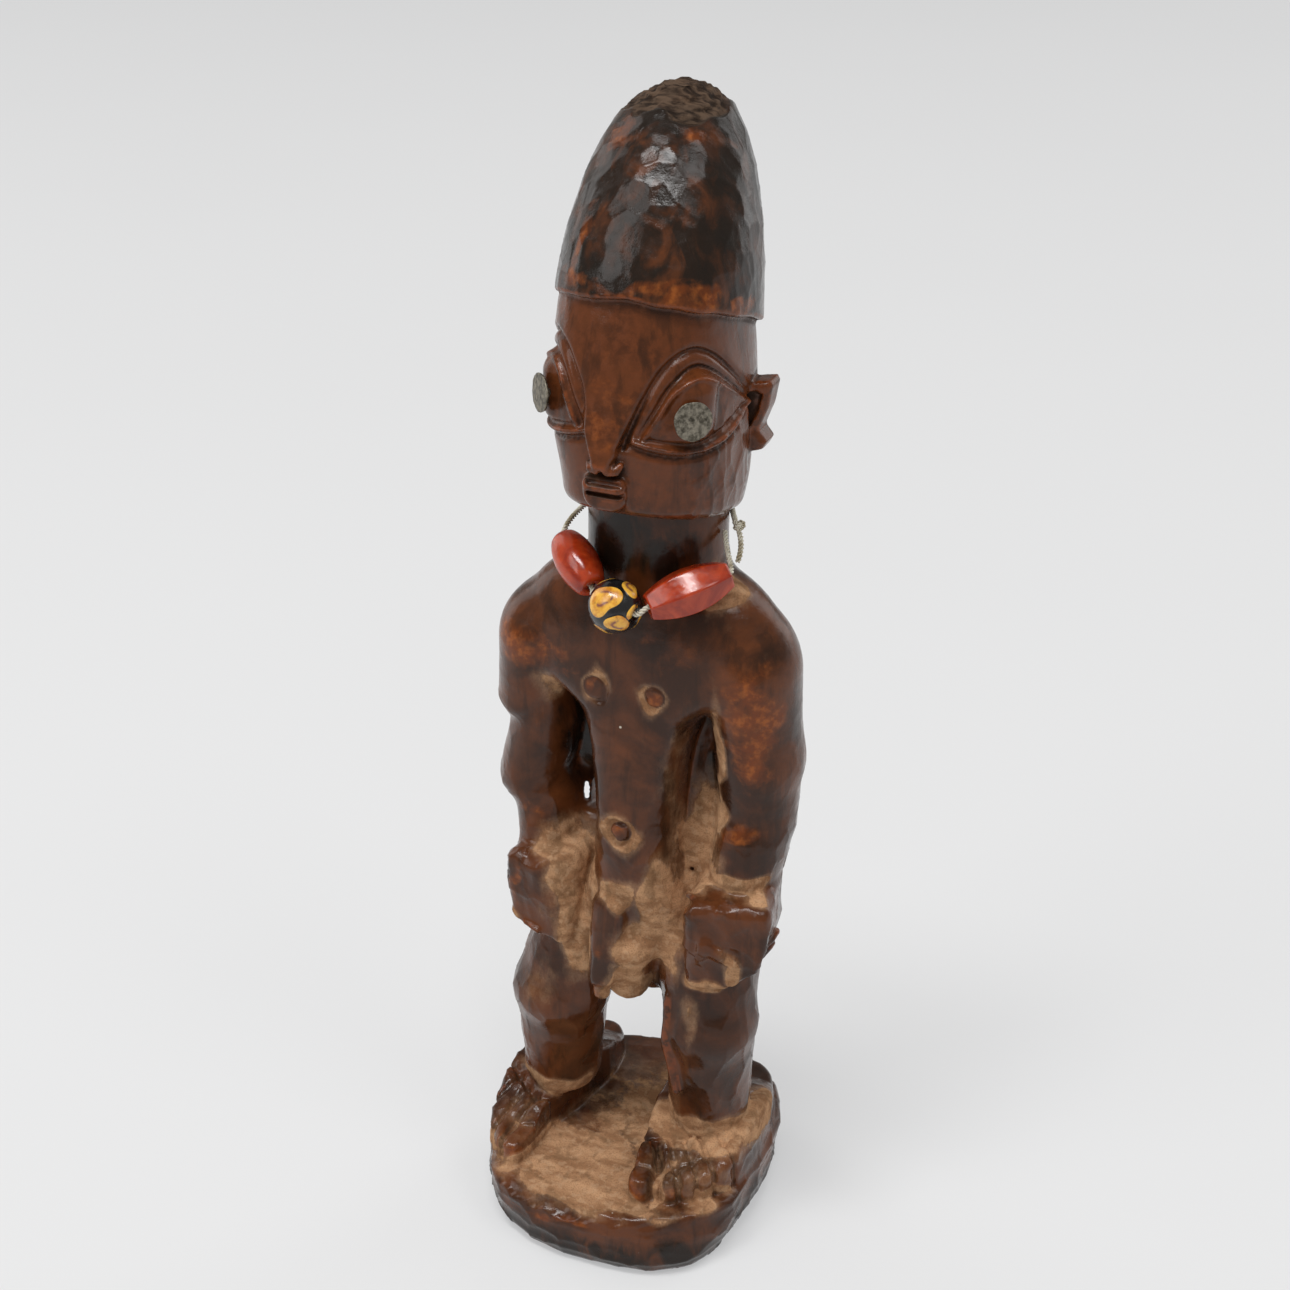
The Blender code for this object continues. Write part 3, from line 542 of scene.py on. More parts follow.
def nose():
    """A long flat wedge, sharp at its tip and widening upwards into the forehead."""
    tip = np.array((0.0, -24.4, 201.2), np.float32)
    facing = np.array((0.0, -0.953, 0.303), np.float32)
    underside = np.array((0.0, -0.25, -0.97), np.float32)

    def distance(p):
        x, _, z = p.T
        sink = np.maximum(z - 211, 0)
        front = (p - tip) @ facing + 0.016 * x * x + 0.012 * sink * sink
        half_width = 1.3 + (z - tip[2]) * 0.42
        sides = (np.abs(x + 0.2) - half_width + 0.35 * front) * 0.88
        return smooth_max(smooth_max(front, sides, 0.5), (p - tip) @ underside, 0.8)

    return distance, np.array((-11.0, -25.0, 200.5)), np.array((11.0, -8.0, 226.0))


def line_distance(s, z, points):
    """Distance to a smooth line drawn on the unrolled head."""
    rows = smooth_line(points, per_side=4)
    best = np.full(len(s), 99.0, np.float32)
    for (s0, z0), (s1, z1) in zip(rows, rows[1:]):
        ds, dz = s1 - s0, z1 - z0
        t = np.clip(((s - s0) * ds + (z - z0) * dz) / (ds * ds + dz * dz), 0, 1)
        best = np.minimum(best, np.hypot(s - s0 - t * ds, z - z0 - t * dz))
    return best


def inside_line(s, z, points):
    """Whether places lie inside the outline that a smooth line and its chord enclose."""
    rows = smooth_line(points, per_side=4)
    result = np.zeros(len(s), bool)
    for (s0, z0), (s1, z1) in zip(rows, np.roll(rows, -1, axis=0)):
        crosses = ((z0 > z) != (z1 > z)) & (s < (s1 - s0) * (z - z0) / (z1 - z0 + 1e-9) + s0)
        result ^= crosses
    return result


def mark(distance, width):
    """1 on a line, falling softly to 0 beside it."""
    return np.exp(-((distance / width) ** 2))


def face_relief(p):
    """How far the carving of the eyelids stands proud of the head."""
    result = np.zeros(len(p), np.float32)
    s = FACE_ROUND * np.arctan2(p[:, 0], FACE_AXIS - p[:, 1])
    in_height = (p[:, 2] > FACE_LOW[2]) & (p[:, 2] < FACE_HIGH[2])
    near = np.flatnonzero((np.abs(s) < 42) & in_height & (p[:, 1] < 18))
    if not len(near):
        return result
    left = s[near] > 0
    across = np.abs(s[near]) + np.where(left, 0.0, 0.5)
    z = p[near, 2] - np.where(left, 0.0, 0.9)
    brow = line_distance(across, z, BROW_LINE)
    relief = -0.85 * mark(brow, 0.75)
    sunk = inside_line(across, z, BROW_LINE + UNDER_LINE[::-1])
    relief -= 0.35 * np.where(sunk, 1.0, mark(brow, 0.5))
    relief -= 0.75 * mark(line_distance(across, z, LID_LINE), 0.6)
    relief += 0.65 * mark(line_distance(across, z, RIM_LINE), 0.55)
    relief += 1.0 * mark(line_distance(across, z, LOWER_LINE), 0.75)
    relief -= 0.55 * mark(line_distance(across, z, UNDER_LINE), 0.7)
    relief -= 0.5 * mark(line_distance(across, z, INNER_LINE), 0.6)
    fading = np.clip((38 - across) / 7, 0, 1) * np.where(left, 1.0, np.clip((across - 3.6) / 1.6, 0, 1))
    result[near] = relief * fading
    return result


# An ear and its lobe seen from the front: distance out from the middle and height of each corner.
EAR = (
    (15.0, 198.0), (15.0, 209.6), (19.2, 210.8), (22.9, 211.2), (23.5, 210.0), (22.6, 205.0), (20.7, 199.8),
)
LOBE = ((15.0, 200.0), (20.6, 200.4), (22.6, 197.6), (21.8, 196.0), (15.0, 193.8))
EAR_HOLLOW = ((17.0, 200.6), (17.4, 208.4), (20.2, 209.2), (21.6, 208.4), (20.8, 204.8), (19.0, 200.8))
EAR_MIDDLE = 13.4


def plate(side, corners, middle, half_thickness, edge):
    """A flat plate that faces the front, cut to an outline given as distance out and height."""
    ends = np.array(corners, np.float32)
    nearest, furthest = sorted((side * ends[:, 0].min(), side * ends[:, 0].max()))
    low = np.array((nearest, middle - half_thickness, ends[:, 1].min()))
    high = np.array((furthest, middle + half_thickness, ends[:, 1].max()))

    def distance(p):
        x, z = side * p[:, 0], p[:, 2]
        best = np.full(len(p), 99.0, np.float32)
        inner = np.zeros(len(p), bool)
        for (x0, z0), (x1, z1) in zip(ends, np.roll(ends, -1, axis=0)):
            dx, dz = x1 - x0, z1 - z0
            t = np.clip(((x - x0) * dx + (z - z0) * dz) / (dx * dx + dz * dz), 0, 1)
            best = np.minimum(best, np.hypot(x - x0 - t * dx, z - z0 - t * dz))
            inner ^= ((z0 > z) != (z1 > z)) & (x < (x1 - x0) * (z - z0) / (z1 - z0 + 1e-9) + x0)
        lean = p[:, 1] - middle - 0.25 * (x - 20)
        return smooth_max(np.where(inner, -best, best), np.abs(lean) - half_thickness, edge)

    return distance, low, high


def ear(side):
    """A plate that stands out from the head, hollowed in front, with a pointed lobe below."""
    return [
        (*plate(side, EAR, EAR_MIDDLE, 3.4, 1.6), 0.8, JOIN),
        (*plate(side, LOBE, EAR_MIDDLE - 0.2, 3.6, 1.6), 0.6, JOIN),
        (*plate(side, EAR_HOLLOW, EAR_MIDDLE - 3.8, 1.2, 0.6), 0.4, CUT),
    ]


def carving_shapes():
    """Every form of the carving, in order: (distance, lowest, highest, blend, kind)."""
    shapes = [(*loft(TORSO), 3.0, JOIN)]
    shapes += [(*limb(row), row[4], JOIN) for row in LIMBS]
    shapes += [(*block(row, row[4]), row[5], JOIN) for row in WEBS]
    for row, cuts in ((LEFT_HAND, LEFT_HAND_CUTS), (RIGHT_HAND, RIGHT_HAND_CUTS)):
        shapes.append((*trimmed(block(row, row[4]), cuts), row[5], JOIN))
    shapes += [(*limb(row), row[4], JOIN) for row in LOINS]
    shapes.append((*plinth(), 0.8, JOIN))
    shapes.append((*strand(CHIPPED_EDGE), 0.4, CUT))
    shapes += [(*strand(points), 0.25, CUT) for points in EDGE_CHIPS]
    shapes += [(*strand(points), 0.3, CUT) for points in SLIT]
    shapes.append((*foot(LEFT_FOOT, LEFT_TOES), 0.8, JOIN))
    shapes.append((*foot(RIGHT_FOOT, RIGHT_TOES), 0.8, JOIN))
    shapes += [(*ring(centre, radius, 0.85), 0.3, CUT) for centre, radius in BOSSES]
    shapes += [(*loft(NECK), 2.5, JOIN), (*trimmed(loft(HEAD), JAW, 3.0), 0.8, JOIN)]
    shapes += [(*limb(row), row[4], JOIN) for row in EYEBALLS]
    shapes += [(*strand(points), blend, CUT) for points, blend in CUTS]
    shapes.append((*nose(), 0.7, JOIN))
    shapes.append((*trimmed(block(MOUTH, MOUTH[4]), MOUTH_CUTS), MOUTH[5], JOIN))
    shapes += [(*block(row, row[4]), 0.3, CUT) for row in LIPS]
    shapes.append((face_relief, np.array(FACE_LOW), np.array(FACE_HIGH), 0.0, RAISE))
    shapes += ear(1) + ear(-1)
    shapes += [(*strand(points), blend, JOIN) for points, blend in RIDGES]
    shapes.append((*cap(), 0.4, JOIN))
    return shapes


REACH = 6.0
SHAPES = carving_shapes()


def carving(p):
    """Distance from each point to the carving's surface, negative inside."""
    p = np.asarray(p, np.float32)
    result = np.full(len(p), 2 * REACH, np.float32)
    lowest, highest = p.min(axis=0), p.max(axis=0)
    for distance, low, high, blend, kind in SHAPES:
        if (low - REACH > highest).any() or (high + REACH < lowest).any():
            continue
        near = np.flatnonzero(((p > low - REACH) & (p < high + REACH)).all(axis=1))
        if not len(near):
            continue
        found = distance(p[near])
        if kind == RAISE:
            result[near] -= found
        elif kind == CUT:
            result[near] = smooth_max(result[near], -found, blend)
        else:
            result[near] = smooth_min(result[near], found, blend)
    return result


def grid_of_distances(field, low, high, voxel):
    """The field on an even grid, worked out finely only near the surface."""
    counts = np.ceil((high - low) / (voxel * BLOCK)).astype(int)
    step = voxel * BLOCK
    centres = [low[k] + (np.arange(counts[k]) + 0.5) * step - voxel / 2 for k in range(3)]
    grid = np.empty((counts[0] * BLOCK, counts[1] * BLOCK, counts[2] * BLOCK), np.float32)
    blocks = grid.reshape(counts[0], BLOCK, counts[1], BLOCK, counts[2], BLOCK)
    inner = np.arange(BLOCK) * voxel
    offsets = np.stack(np.meshgrid(inner, inner, inner, indexing="ij"), axis=-1).reshape(-1, 3)
    margin = step * 0.9 + 1.0
    across = np.stack(np.meshgrid(centres[0], centres[1], indexing="ij"), axis=-1).reshape(-1, 2)
    for layer, height in enumerate(centres[2]):
        coarse = field(np.column_stack((across, np.full(len(across), height))))
        blocks[:, :, :, :, layer, :] = coarse.reshape(counts[0], 1, counts[1], 1, 1)
        near = np.flatnonzero(np.abs(coarse) < margin)
        if not len(near):
            continue
        corner = np.column_stack((across[near], np.full(len(near), height))) - step / 2 + voxel / 2
        fine = field((corner[:, None, :] + offsets).reshape(-1, 3)).reshape(-1, BLOCK, BLOCK, BLOCK)
        blocks[near // counts[1], :, near % counts[1], :, layer, :] = fine
    return grid


def surface_net(grid, low, voxel):
    """Points and four-sided faces of the surface where the grid changes sign."""
    inside = grid < 0
    mixed = np.zeros(np.array(grid.shape) - 1, np.uint8)
    corner_offsets = [(i, j, k) for i in (0, 1) for j in (0, 1) for k in (0, 1)]
    sx, sy, sz = mixed.shape
    for i, j, k in corner_offsets:
        mixed += inside[i:i + sx, j:j + sy, k:k + sz]
    cells = np.argwhere((mixed > 0) & (mixed < 8))
    number = np.full(mixed.shape, -1, np.int32)
    number[tuple(cells.T)] = np.arange(len(cells))
    total = np.zeros((len(cells), 3), np.float32)
    count = np.zeros(len(cells), np.float32)
    for start in corner_offsets:
        for axis in range(3):
            if start[axis]:
                continue
            end = tuple(v + (k == axis) for k, v in enumerate(start))
            a = grid[tuple((cells + start).T)]
            b = grid[tuple((cells + end).T)]
            crossed = (a < 0) != (b < 0)
            t = np.where(crossed, a / np.where(crossed, a - b, 1), 0)
            total += crossed[:, None] * np.array(start, np.float32)
            total[:, axis] += t
            count += crossed
    points = low + (cells + total / count[:, None]) * voxel
    faces = []
    for axis in range(3):
        u, v = (axis + 1) % 3, (axis + 2) % 3
        first = [slice(1, -1)] * 3
        second = [slice(1, -1)] * 3
        second[axis] = slice(2, None)
        edges = inside[tuple(first)] != inside[tuple(second)]
        at = np.argwhere(edges) + 1
        one, two = np.zeros(3, int), np.zeros(3, int)
        one[u], two[v] = 1, 1
        shifts = (one + two, two, 0 * one, one)
        quad = np.column_stack([number[tuple((at - shift).T)] for shift in shifts])
        flip = ~inside[tuple(at.T)]
        quad[flip] = quad[flip, ::-1]
        faces.append(quad)
    faces = np.concatenate(faces)
    return points.astype(np.float32), faces[(faces >= 0).all(axis=1)]


# ---- end of carving ----


# ---- surface of the wood ----

# Where the wood differs: centre, radii and strength of each patch.
CRUST = (
    ((-7.2, -12.7, 144.4), (4.1, 4.1, 4.1), 0.85),
    ((6.9, -12.5, 144.8), (3.6, 3.6, 3.6), 0.75),
    ((0.1, -15.4, 110.8), (4.2, 4.2, 4.2), 0.85),
    ((18.6, -2.0, 168.6), (5.0, 6.0, 5.2), 1.1),
    ((-20.0, -8.0, 139.0), (4.0, 5.0, 5.0), 0.5),
    ((19.4, -6.0, 124.0), (1.3, 4.0, 25.0), 0.62),
    ((17.4, -6.5, 112.4), (3.6, 6.0, 4.6), 1.0),
    ((26.4, -9.6, 99.6), (10.0, 7.0, 2.4), 1.0),
    ((15.4, -3.0, 100.0), (5.8, 10.0, 19.0), 0.92),
    ((11.0, -6.0, 122.0), (4.0, 6.0, 16.0), 0.28),
    ((-13.0, -9.0, 87.0), (6.0, 10.0, 19.0), 1.1),
    ((8.6, -13.0, 87.0), (5.6, 8.0, 15.0), 1.1),
    ((3.6, -12.0, 78.0), (5.0, 8.0, 8.0), 0.95),
    ((-2.0, -16.0, 94.0), (6.0, 5.0, 4.0), 0.9),
    ((1.0, -11.0, 67.0), (5.6, 8.0, 8.0), 1.0),
    ((-9.0, -12.0, 80.0), (2.6, 5.0, 12.0), 0.9),
    ((-16.0, -7.0, 98.6), (6.5, 8.0, 6.0), 0.8),
    ((26.2, -17.0, 78.4), (2.6, 4.0, 6.0), 0.9),
    ((24.0, -13.0, 73.0), (10.0, 8.0, 2.2), 1.0),
    ((16.0, -14.0, 62.0), (2.0, 5.0, 7.0), 0.42),
    ((-23.0, -14.0, 62.0), (5.0, 5.0, 7.0), 0.3),
    ((15.6, -8.0, 27.6), (14.0, 8.0, 4.0), 1.0),
    ((18.0, -18.0, 20.0), (12.0, 10.0, 5.0), 0.34),
    ((-28.0, -17.0, 20.0), (8.0, 10.0, 5.0), 0.3),
    ((28.0, 6.0, 26.0), (5.0, 14.0, 6.0), 0.9),
    ((12.6, -21.5, 19.0), (1.5, 7.5, 3.4), 0.8),
    ((24.0, -19.0, 16.9), (8.0, 6.0, 1.8), 0.7),
    ((-21.0, -6.0, 28.5), (11.0, 8.0, 3.6), 1.0),
    ((-31.0, -19.0, 18.4), (4.0, 6.0, 2.4), 0.9),
    ((-9.0, -20.0, 16.0), (20.0, 14.0, 3.0), 1.1),
    ((2.0, -28.0, 16.0), (16.0, 4.0, 2.0), 0.8),
    ((0.0, 4.0, 16.0), (20.0, 24.0, 3.0), 0.6),
    ((0.0, 16.0, 92.0), (14.0, 8.0, 10.0), 0.6),
    ((-28.6, -10.0, 80.6), (3.0, 4.0, 2.4), 0.9),
)
GLOW = (
    ((-0.6, -19.0, 212.0), (6.5, 9.0, 14.0), 0.6),
    ((1.0, -16.0, 236.4), (20.0, 10.0, 1.8), 0.85),
    ((14.0, -10.0, 233.6), (8.0, 8.0, 2.4), 1.0),
    ((19.0, 3.0, 229.6), (4.0, 8.0, 2.4), 0.9),
    ((-7.2, -13.6, 144.4), (3.0, 3.0, 3.0), 1.0),
    ((6.9, -13.4, 144.8), (2.6, 3.0, 2.6), 1.0),
    ((0.1, -16.2, 110.8), (2.8, 3.0, 2.8), 1.0),
    ((-9.6, -11.0, 244.0), (1.5, 7.0, 11.0), 0.9),
    ((11.0, 2.0, 262.0), (6.0, 8.0, 4.6), 1.0),
    ((-8.6, 4.0, 262.6), (4.0, 6.0, 3.6), 0.8),
    ((28.4, -9.0, 140.0), (8.0, 9.0, 16.0), 1.0),
    ((-25.0, -9.0, 150.0), (13.0, 8.0, 5.4), 0.95),
    ((12.0, -12.0, 156.0), (12.0, 6.0, 8.0), 0.45),
    ((26.0, -9.0, 112.4), (9.0, 6.0, 1.8), 1.0),
    ((-26.0, -8.0, 106.0), (7.0, 6.0, 1.8), 0.7),
    ((8.6, -26.0, 18.6), (3.2, 3.0, 3.0), 1.0),
    ((15.4, -24.0, 18.4), (3.0, 3.0, 3.0), 1.0),
    ((-25.2, -25.6, 18.6), (3.4, 3.0, 3.0), 1.0),
    ((-10.0, -35.0, 12.0), (17.0, 4.0, 1.2), 0.8),
    ((6.6, -12.0, 46.0), (1.6, 5.0, 17.0), 0.9),
    ((14.4, -14.0, 87.0), (1.8, 5.0, 9.0), 1.0),
    ((-4.8, -17.4, 82.0), (3.2, 3.0, 8.0), 0.8),
    ((-5.2, -17.0, 66.0), (2.6, 3.0, 2.6), 1.0),
    ((-27.0, -14.0, 90.0), (2.0, 4.0, 7.0), 0.8),
    ((0.0, 22.0, 150.0), (20.0, 9.0, 14.0), 0.5),
    ((0.0, 26.0, 76.0), (12.0, 8.0, 8.0), 0.7),
    ((0.0, 33.0, 222.0), (14.0, 6.0, 10.0), 0.6),
)
# Black patina, and painted shade where shade falls: under the chin and the left bead, at the back of the
# neck, beside the trunk under the arms, at the left elbow and between the legs; the plinth is darkened
# towards its bottom. Each: centre, radii, strength.
SOOT_AND_SHADE = (
    ((0.5, -6.0, 178.0), (17.0, 14.0, 9.0), 0.92),
    ((13.0, -14.0, 246.0), (9.0, 7.0, 12.0), 0.6),
    ((19.0, 4.0, 124.0), (6.0, 10.0, 20.0), 0.8),
    ((-17.0, 4.0, 128.0), (6.0, 10.0, 20.0), 0.9),
    ((24.0, -6.0, 120.0), (9.0, 8.0, 4.0), 0.6),
    ((-25.0, -15.0, 158.0), (4.0, 6.0, 3.0), 0.5),
    ((22.0, -12.0, 168.0), (7.0, 6.0, 5.0), 0.4),
    ((-8.0, 8.0, 22.0), (14.0, 20.0, 8.0), 0.6),
    ((0.0, 0.0, 4.0), (70.0, 70.0, 8.0), 0.92),
    ((4.0, 22.0, 16.0), (22.0, 14.0, 4.0), 0.5),
    ((0.0, 18.0, 196.0), (16.0, 12.0, 14.0), 0.5),
)
# How the adze left each region: centre, radii, cell size across, deep and high, depth of its marks.
ADZE = (
    ((0.0, 8.0, 254.0), (40.0, 50.0, 24.0), (4.2, 4.2, 5.4), 0.34),
    ((0.0, 0.0, 92.0), (60.0, 60.0, 22.0), (5.2, 5.2, 6.4), 0.55),
    ((0.0, 0.0, 48.0), (60.0, 60.0, 26.0), (5.0, 5.0, 11.0), 0.7),
    ((16.0, -12.0, 23.0), (16.0, 16.0, 5.0), (3.2, 4.6, 3.2), 0.9),
    ((-27.0, -8.0, 24.0), (11.0, 20.0, 6.0), (3.4, 4.4, 3.4), 0.8),
    ((0.0, 0.0, 8.0), (60.0, 60.0, 8.5), (8.0, 8.0, 3.8), 0.8),
    ((0.0, 0.0, 126.0), (60.0, 60.0, 16.0), (6.0, 6.0, 7.0), 0.3),
    ((0.0, 0.0, 165.0), (60.0, 60.0, 26.0), (7.0, 7.0, 7.0), 0.12),
    ((0.0, 0.0, 210.0), (60.0, 60.0, 24.0), (6.0, 6.0, 6.0), 0.12),
    ((19.0, -4.0, 196.0), (6.0, 14.0, 12.0), (4.0, 4.0, 6.0), 0.5),
    ((24.0, -14.0, 86.0), (12.0, 9.0, 13.0), (6.4, 6.4, 8.6), 1.1),
    ((-25.0, -12.0, 88.0), (8.0, 9.0, 12.0), (5.6, 5.6, 8.0), 0.9),
)


def scattered(cells, seed):
    """Three even random numbers from 0 to 1 for each whole-numbered cell."""
    mixed = cells[:, 0] * 73856093 ^ cells[:, 1] * 19349663 ^ cells[:, 2] * 83492791 ^ seed * 9176263
    result = []
    for _ in range(3):
        mixed = (mixed ^ (mixed >> 13)) * 1274126177 & 0x7FFFFFFF
        result.append((mixed & 0xFFFF) / 0xFFFF)
    return np.stack(result, axis=-1)


def cell_gaps(p, size, seed):
    """Distance to the nearest cell centre, in cells, and a random number of that cell."""
    q = p / np.array(size)
    base = np.floor(q).astype(np.int64)
    first = np.full(len(p), 9.0)
    tone = np.zeros(len(p))
    for shift in product((-1, 0, 1), repeat=3):
        cells = base + np.array(shift)
        random = scattered(cells, seed)
        gap = np.linalg.norm(cells + 0.1 + 0.8 * random - q, axis=1)
        tone = np.where(gap < first, random[:, 0], tone)
        first = np.minimum(first, gap)
    return first, tone


def ripple(p, size, seed):
    """A smooth random value from -1 to 1 whose features are about that size."""
    q = p / size
    base = np.floor(q).astype(np.int64)
    part = q - base
    part = part * part * (3 - 2 * part)
    total = np.zeros(len(p))
    for shift in product((0, 1), repeat=3):
        weight = np.prod(np.where(np.array(shift), part, 1 - part), axis=1)
        total += weight * scattered(base + np.array(shift), seed)[:, 0]
    return 2 * total - 1


def shaken(p, reach, size, seed):
    """The points, each moved by up to about that reach, so that a border drawn on them wanders."""
    return p + reach * np.stack([ripple(p, size, seed + k) for k in range(3)], axis=1)


def patches(p, table):
    """How strongly each point lies in the table's soft patches, from 0 to 1."""
    result = np.zeros(len(p))
    for centre, radii, strength in table:
        gap = (((p - np.array(centre)) / np.array(radii)) ** 2).sum(axis=1)
        result = np.maximum(result, strength * np.exp(-0.7 * gap * gap))
    return result


def facing_of(p, field, step=0.35):
    """The outward direction of the surface at each point, and the field there."""
    here = field(p)
    slope = np.empty_like(p)
    for axis in range(3):
        shift = np.zeros(3, np.float32)
        shift[axis] = step
        slope[:, axis] = field(p + shift) - here
    return slope / np.maximum(np.linalg.norm(slope, axis=1), 1e-6)[:, None], here


def adze_marks(p):
    """The height of the shallow scallops that the adze left."""
    height = np.zeros(len(p))
    for seed, (centre, radii, size, depth) in enumerate(ADZE):
        gap = (((p - np.array(centre)) / np.array(radii)) ** 2).sum(axis=1)
        near = np.flatnonzero(gap < 1.6)
        share = np.clip((1.6 - gap[near]) / 0.6, 0, 1) * depth
        first, tone = cell_gaps(shaken(p[near], 0.9, 5.0, seed * 3), size, seed + 20)
        height[near] += share * (first * first - 0.38 + 0.35 * (tone - 0.5))
    return height


def broken_crown(p):
    """How far the crown is worn away above its uneven lip."""
    turn = np.arctan2(p[:, 1] - CROWN_CENTRE[1], p[:, 0] - CROWN_CENTRE[0])
    lip = CROWN_HEIGHT + 0.9 * np.sin(3 * turn + 0.6) + 0.6 * np.sin(7 * turn)
    lip += 0.5 * ripple(p, 2.0, 51)
    above = np.clip((p[:, 2] - lip) / 0.7, 0, 1)
    around = np.hypot(p[:, 0] - CROWN_CENTRE[0], p[:, 1] - CROWN_CENTRE[1])
    rings = 0.16 * np.sin(around * 3.4 + 1.2 * ripple(p, 3.0, 52))
    return above * (0.75 + 0.35 * ripple(p, 1.3, 53) + rings), above


def carved_figure():
    """The whole carving as one fine mesh, with what its wood needs to know at each point."""
    low, high = np.array(GRID_LOW), np.array(GRID_HIGH)
    points, faces = surface_net(grid_of_distances(carving, low, high, VOXEL), low, VOXEL)
    facing, here = facing_of(points, carving)
    points = points - facing * here[:, None]
    # How deep each point lies in a hollow: the wood paints shade there and gathers dust there.
    hollow = np.clip((HOLLOW_REACH - carving(points + facing * HOLLOW_REACH)) / HOLLOW_REACH, 0, 1)
    edge = np.clip(carving(points - facing * EDGE_REACH) + EDGE_REACH, 0, 1)
    ragged = shaken(points, 2.4, 5.5, 31)
    crust = patches(ragged, CRUST)
    for centre, radius in BOSSES:
        apart = np.linalg.norm(points - np.array(centre), axis=1)
        crust = crust * np.clip((apart - 0.85 * radius) / 0.4, 0, 1)
    in_cap = np.clip(-cap_rim(points.astype(np.float32)) / 0.8, 0, 1)
    missing, crown = broken_crown(points)
    thick = np.clip(crust * 1.6 - 0.5 + 0.5 * ripple(points, 2.6, 41), 0, 1)
    height = adze_marks(points) * (1 - 0.6 * thick) - missing
    height += thick * (0.18 + 0.16 * ripple(points, 1.1, 42) + 0.14 * ripple(points, 2.2, 43))
    points = points + facing * height[:, None]
    points[:, 2] = np.clip(points[:, 2], 0.0, DOLL_HEIGHT)
    obj = mesh_object("figure_carving", points, faces)
    # Black patina on the cap and in patches, with painted shade under the chin, beside the trunk and
    # between parts.
    soot_and_shade = np.maximum(patches(ragged, SOOT_AND_SHADE), in_cap * 0.84)
    add_marks(obj, {
        "crust": crust, "glow": patches(ragged, GLOW), "soot_and_shade": soot_and_shade,
        "hollow": hollow, "edge": edge, "crown": crown,
        "face": np.clip((points[:, 2] - FACE_STARTS) / 6, 0, 1) * (1 - in_cap),
    })
    return obj


# ---- building pieces ----

def mesh_object(name, points, faces):
    """A smooth mesh object from points in millimetres and faces of one size."""
    mesh = bpy.data.meshes.new(name)
    mesh.vertices.add(len(points))
    mesh.vertices.foreach_set("co", (np.asarray(points) * MM).astype(np.float32).ravel())
    mesh.loops.add(faces.size)
    mesh.loops.foreach_set("vertex_index", faces.astype(np.int32).ravel())
    mesh.polygons.add(len(faces))
    mesh.polygons.foreach_set("loop_start", np.arange(0, faces.size, faces.shape[1], dtype=np.int32))
    mesh.update(calc_edges=True)
    mesh.validate()
    mesh.shade_smooth()
    obj = bpy.data.objects.new(name, mesh)
    bpy.context.scene.collection.objects.link(obj)
    return obj


def add_marks(obj, marks):
    """Keeps named values at the points of a piece, for its material to read."""
    for name, values in marks.items():
        layer = obj.data.attributes.new(name, "FLOAT", "POINT")
        layer.data.foreach_set("value", values.astype(np.float32))


def lattice_faces(rows, columns, joined_rows=False):
    """Four-sided faces of a sheet of points that closes round on itself across its columns."""
    last = rows if joined_rows else rows - 1
    first = np.arange(last)[:, None] * columns
    after = (np.arange(last)[:, None] + 1) % rows * columns
    here = np.arange(columns)[None, :]
    beside = (here + 1) % columns
    corners = (first + here, first + beside, after + beside, after + here)
    return np.stack(corners, axis=-1).reshape(-1, 4)


def axes_along(direction):
    """Two directions square to the given one, and the direction itself, as rows."""
    turned = Vector(direction).to_track_quat("Z", "Y").to_matrix()
    return np.array(turned).T


def spokes(turn, across, up):
    """The direction outwards at each angle round an axis."""
    return np.cos(turn)[:, None] * across + np.sin(turn)[:, None] * up


def turned_ring(name, ends, profile, bore, outline_at, columns=96, relief=None):
    """A bored bead: the profile turned about the line between its ends, scaled at each angle."""
    start, end = np.array(ends[0]), np.array(ends[1])
    across, up, along = axes_along(end - start)
    length = np.linalg.norm(end - start)
    rows = [(t, radius, 1.0) for t, radius in profile]
    rows += [(t, bore * (1 + 0.25 * (2 * t - 1) ** 8), 0.0) for t in np.linspace(0.985, 0.015, 9)]
    turn = np.linspace(0, 2 * np.pi, columns, endpoint=False)
    points = []
    for t, radius, outside in rows:
        reach = radius * (1 + outside * (outline_at(turn) - 1))
        centre = start + along * length * t
        points.append(centre + reach[:, None] * spokes(turn, across, up))
    points = np.concatenate(points)
    if relief is not None:
        outward = points - (start + end) / 2
        distance = np.linalg.norm(outward, axis=1)
        outside = np.repeat([row[2] for row in rows], columns) * (distance > bore * 1.5)
        facing = outward / distance[:, None]
        points = points + facing * (relief(facing) * outside)[:, None]
    return mesh_object(name, points, lattice_faces(len(rows), columns, joined_rows=True))


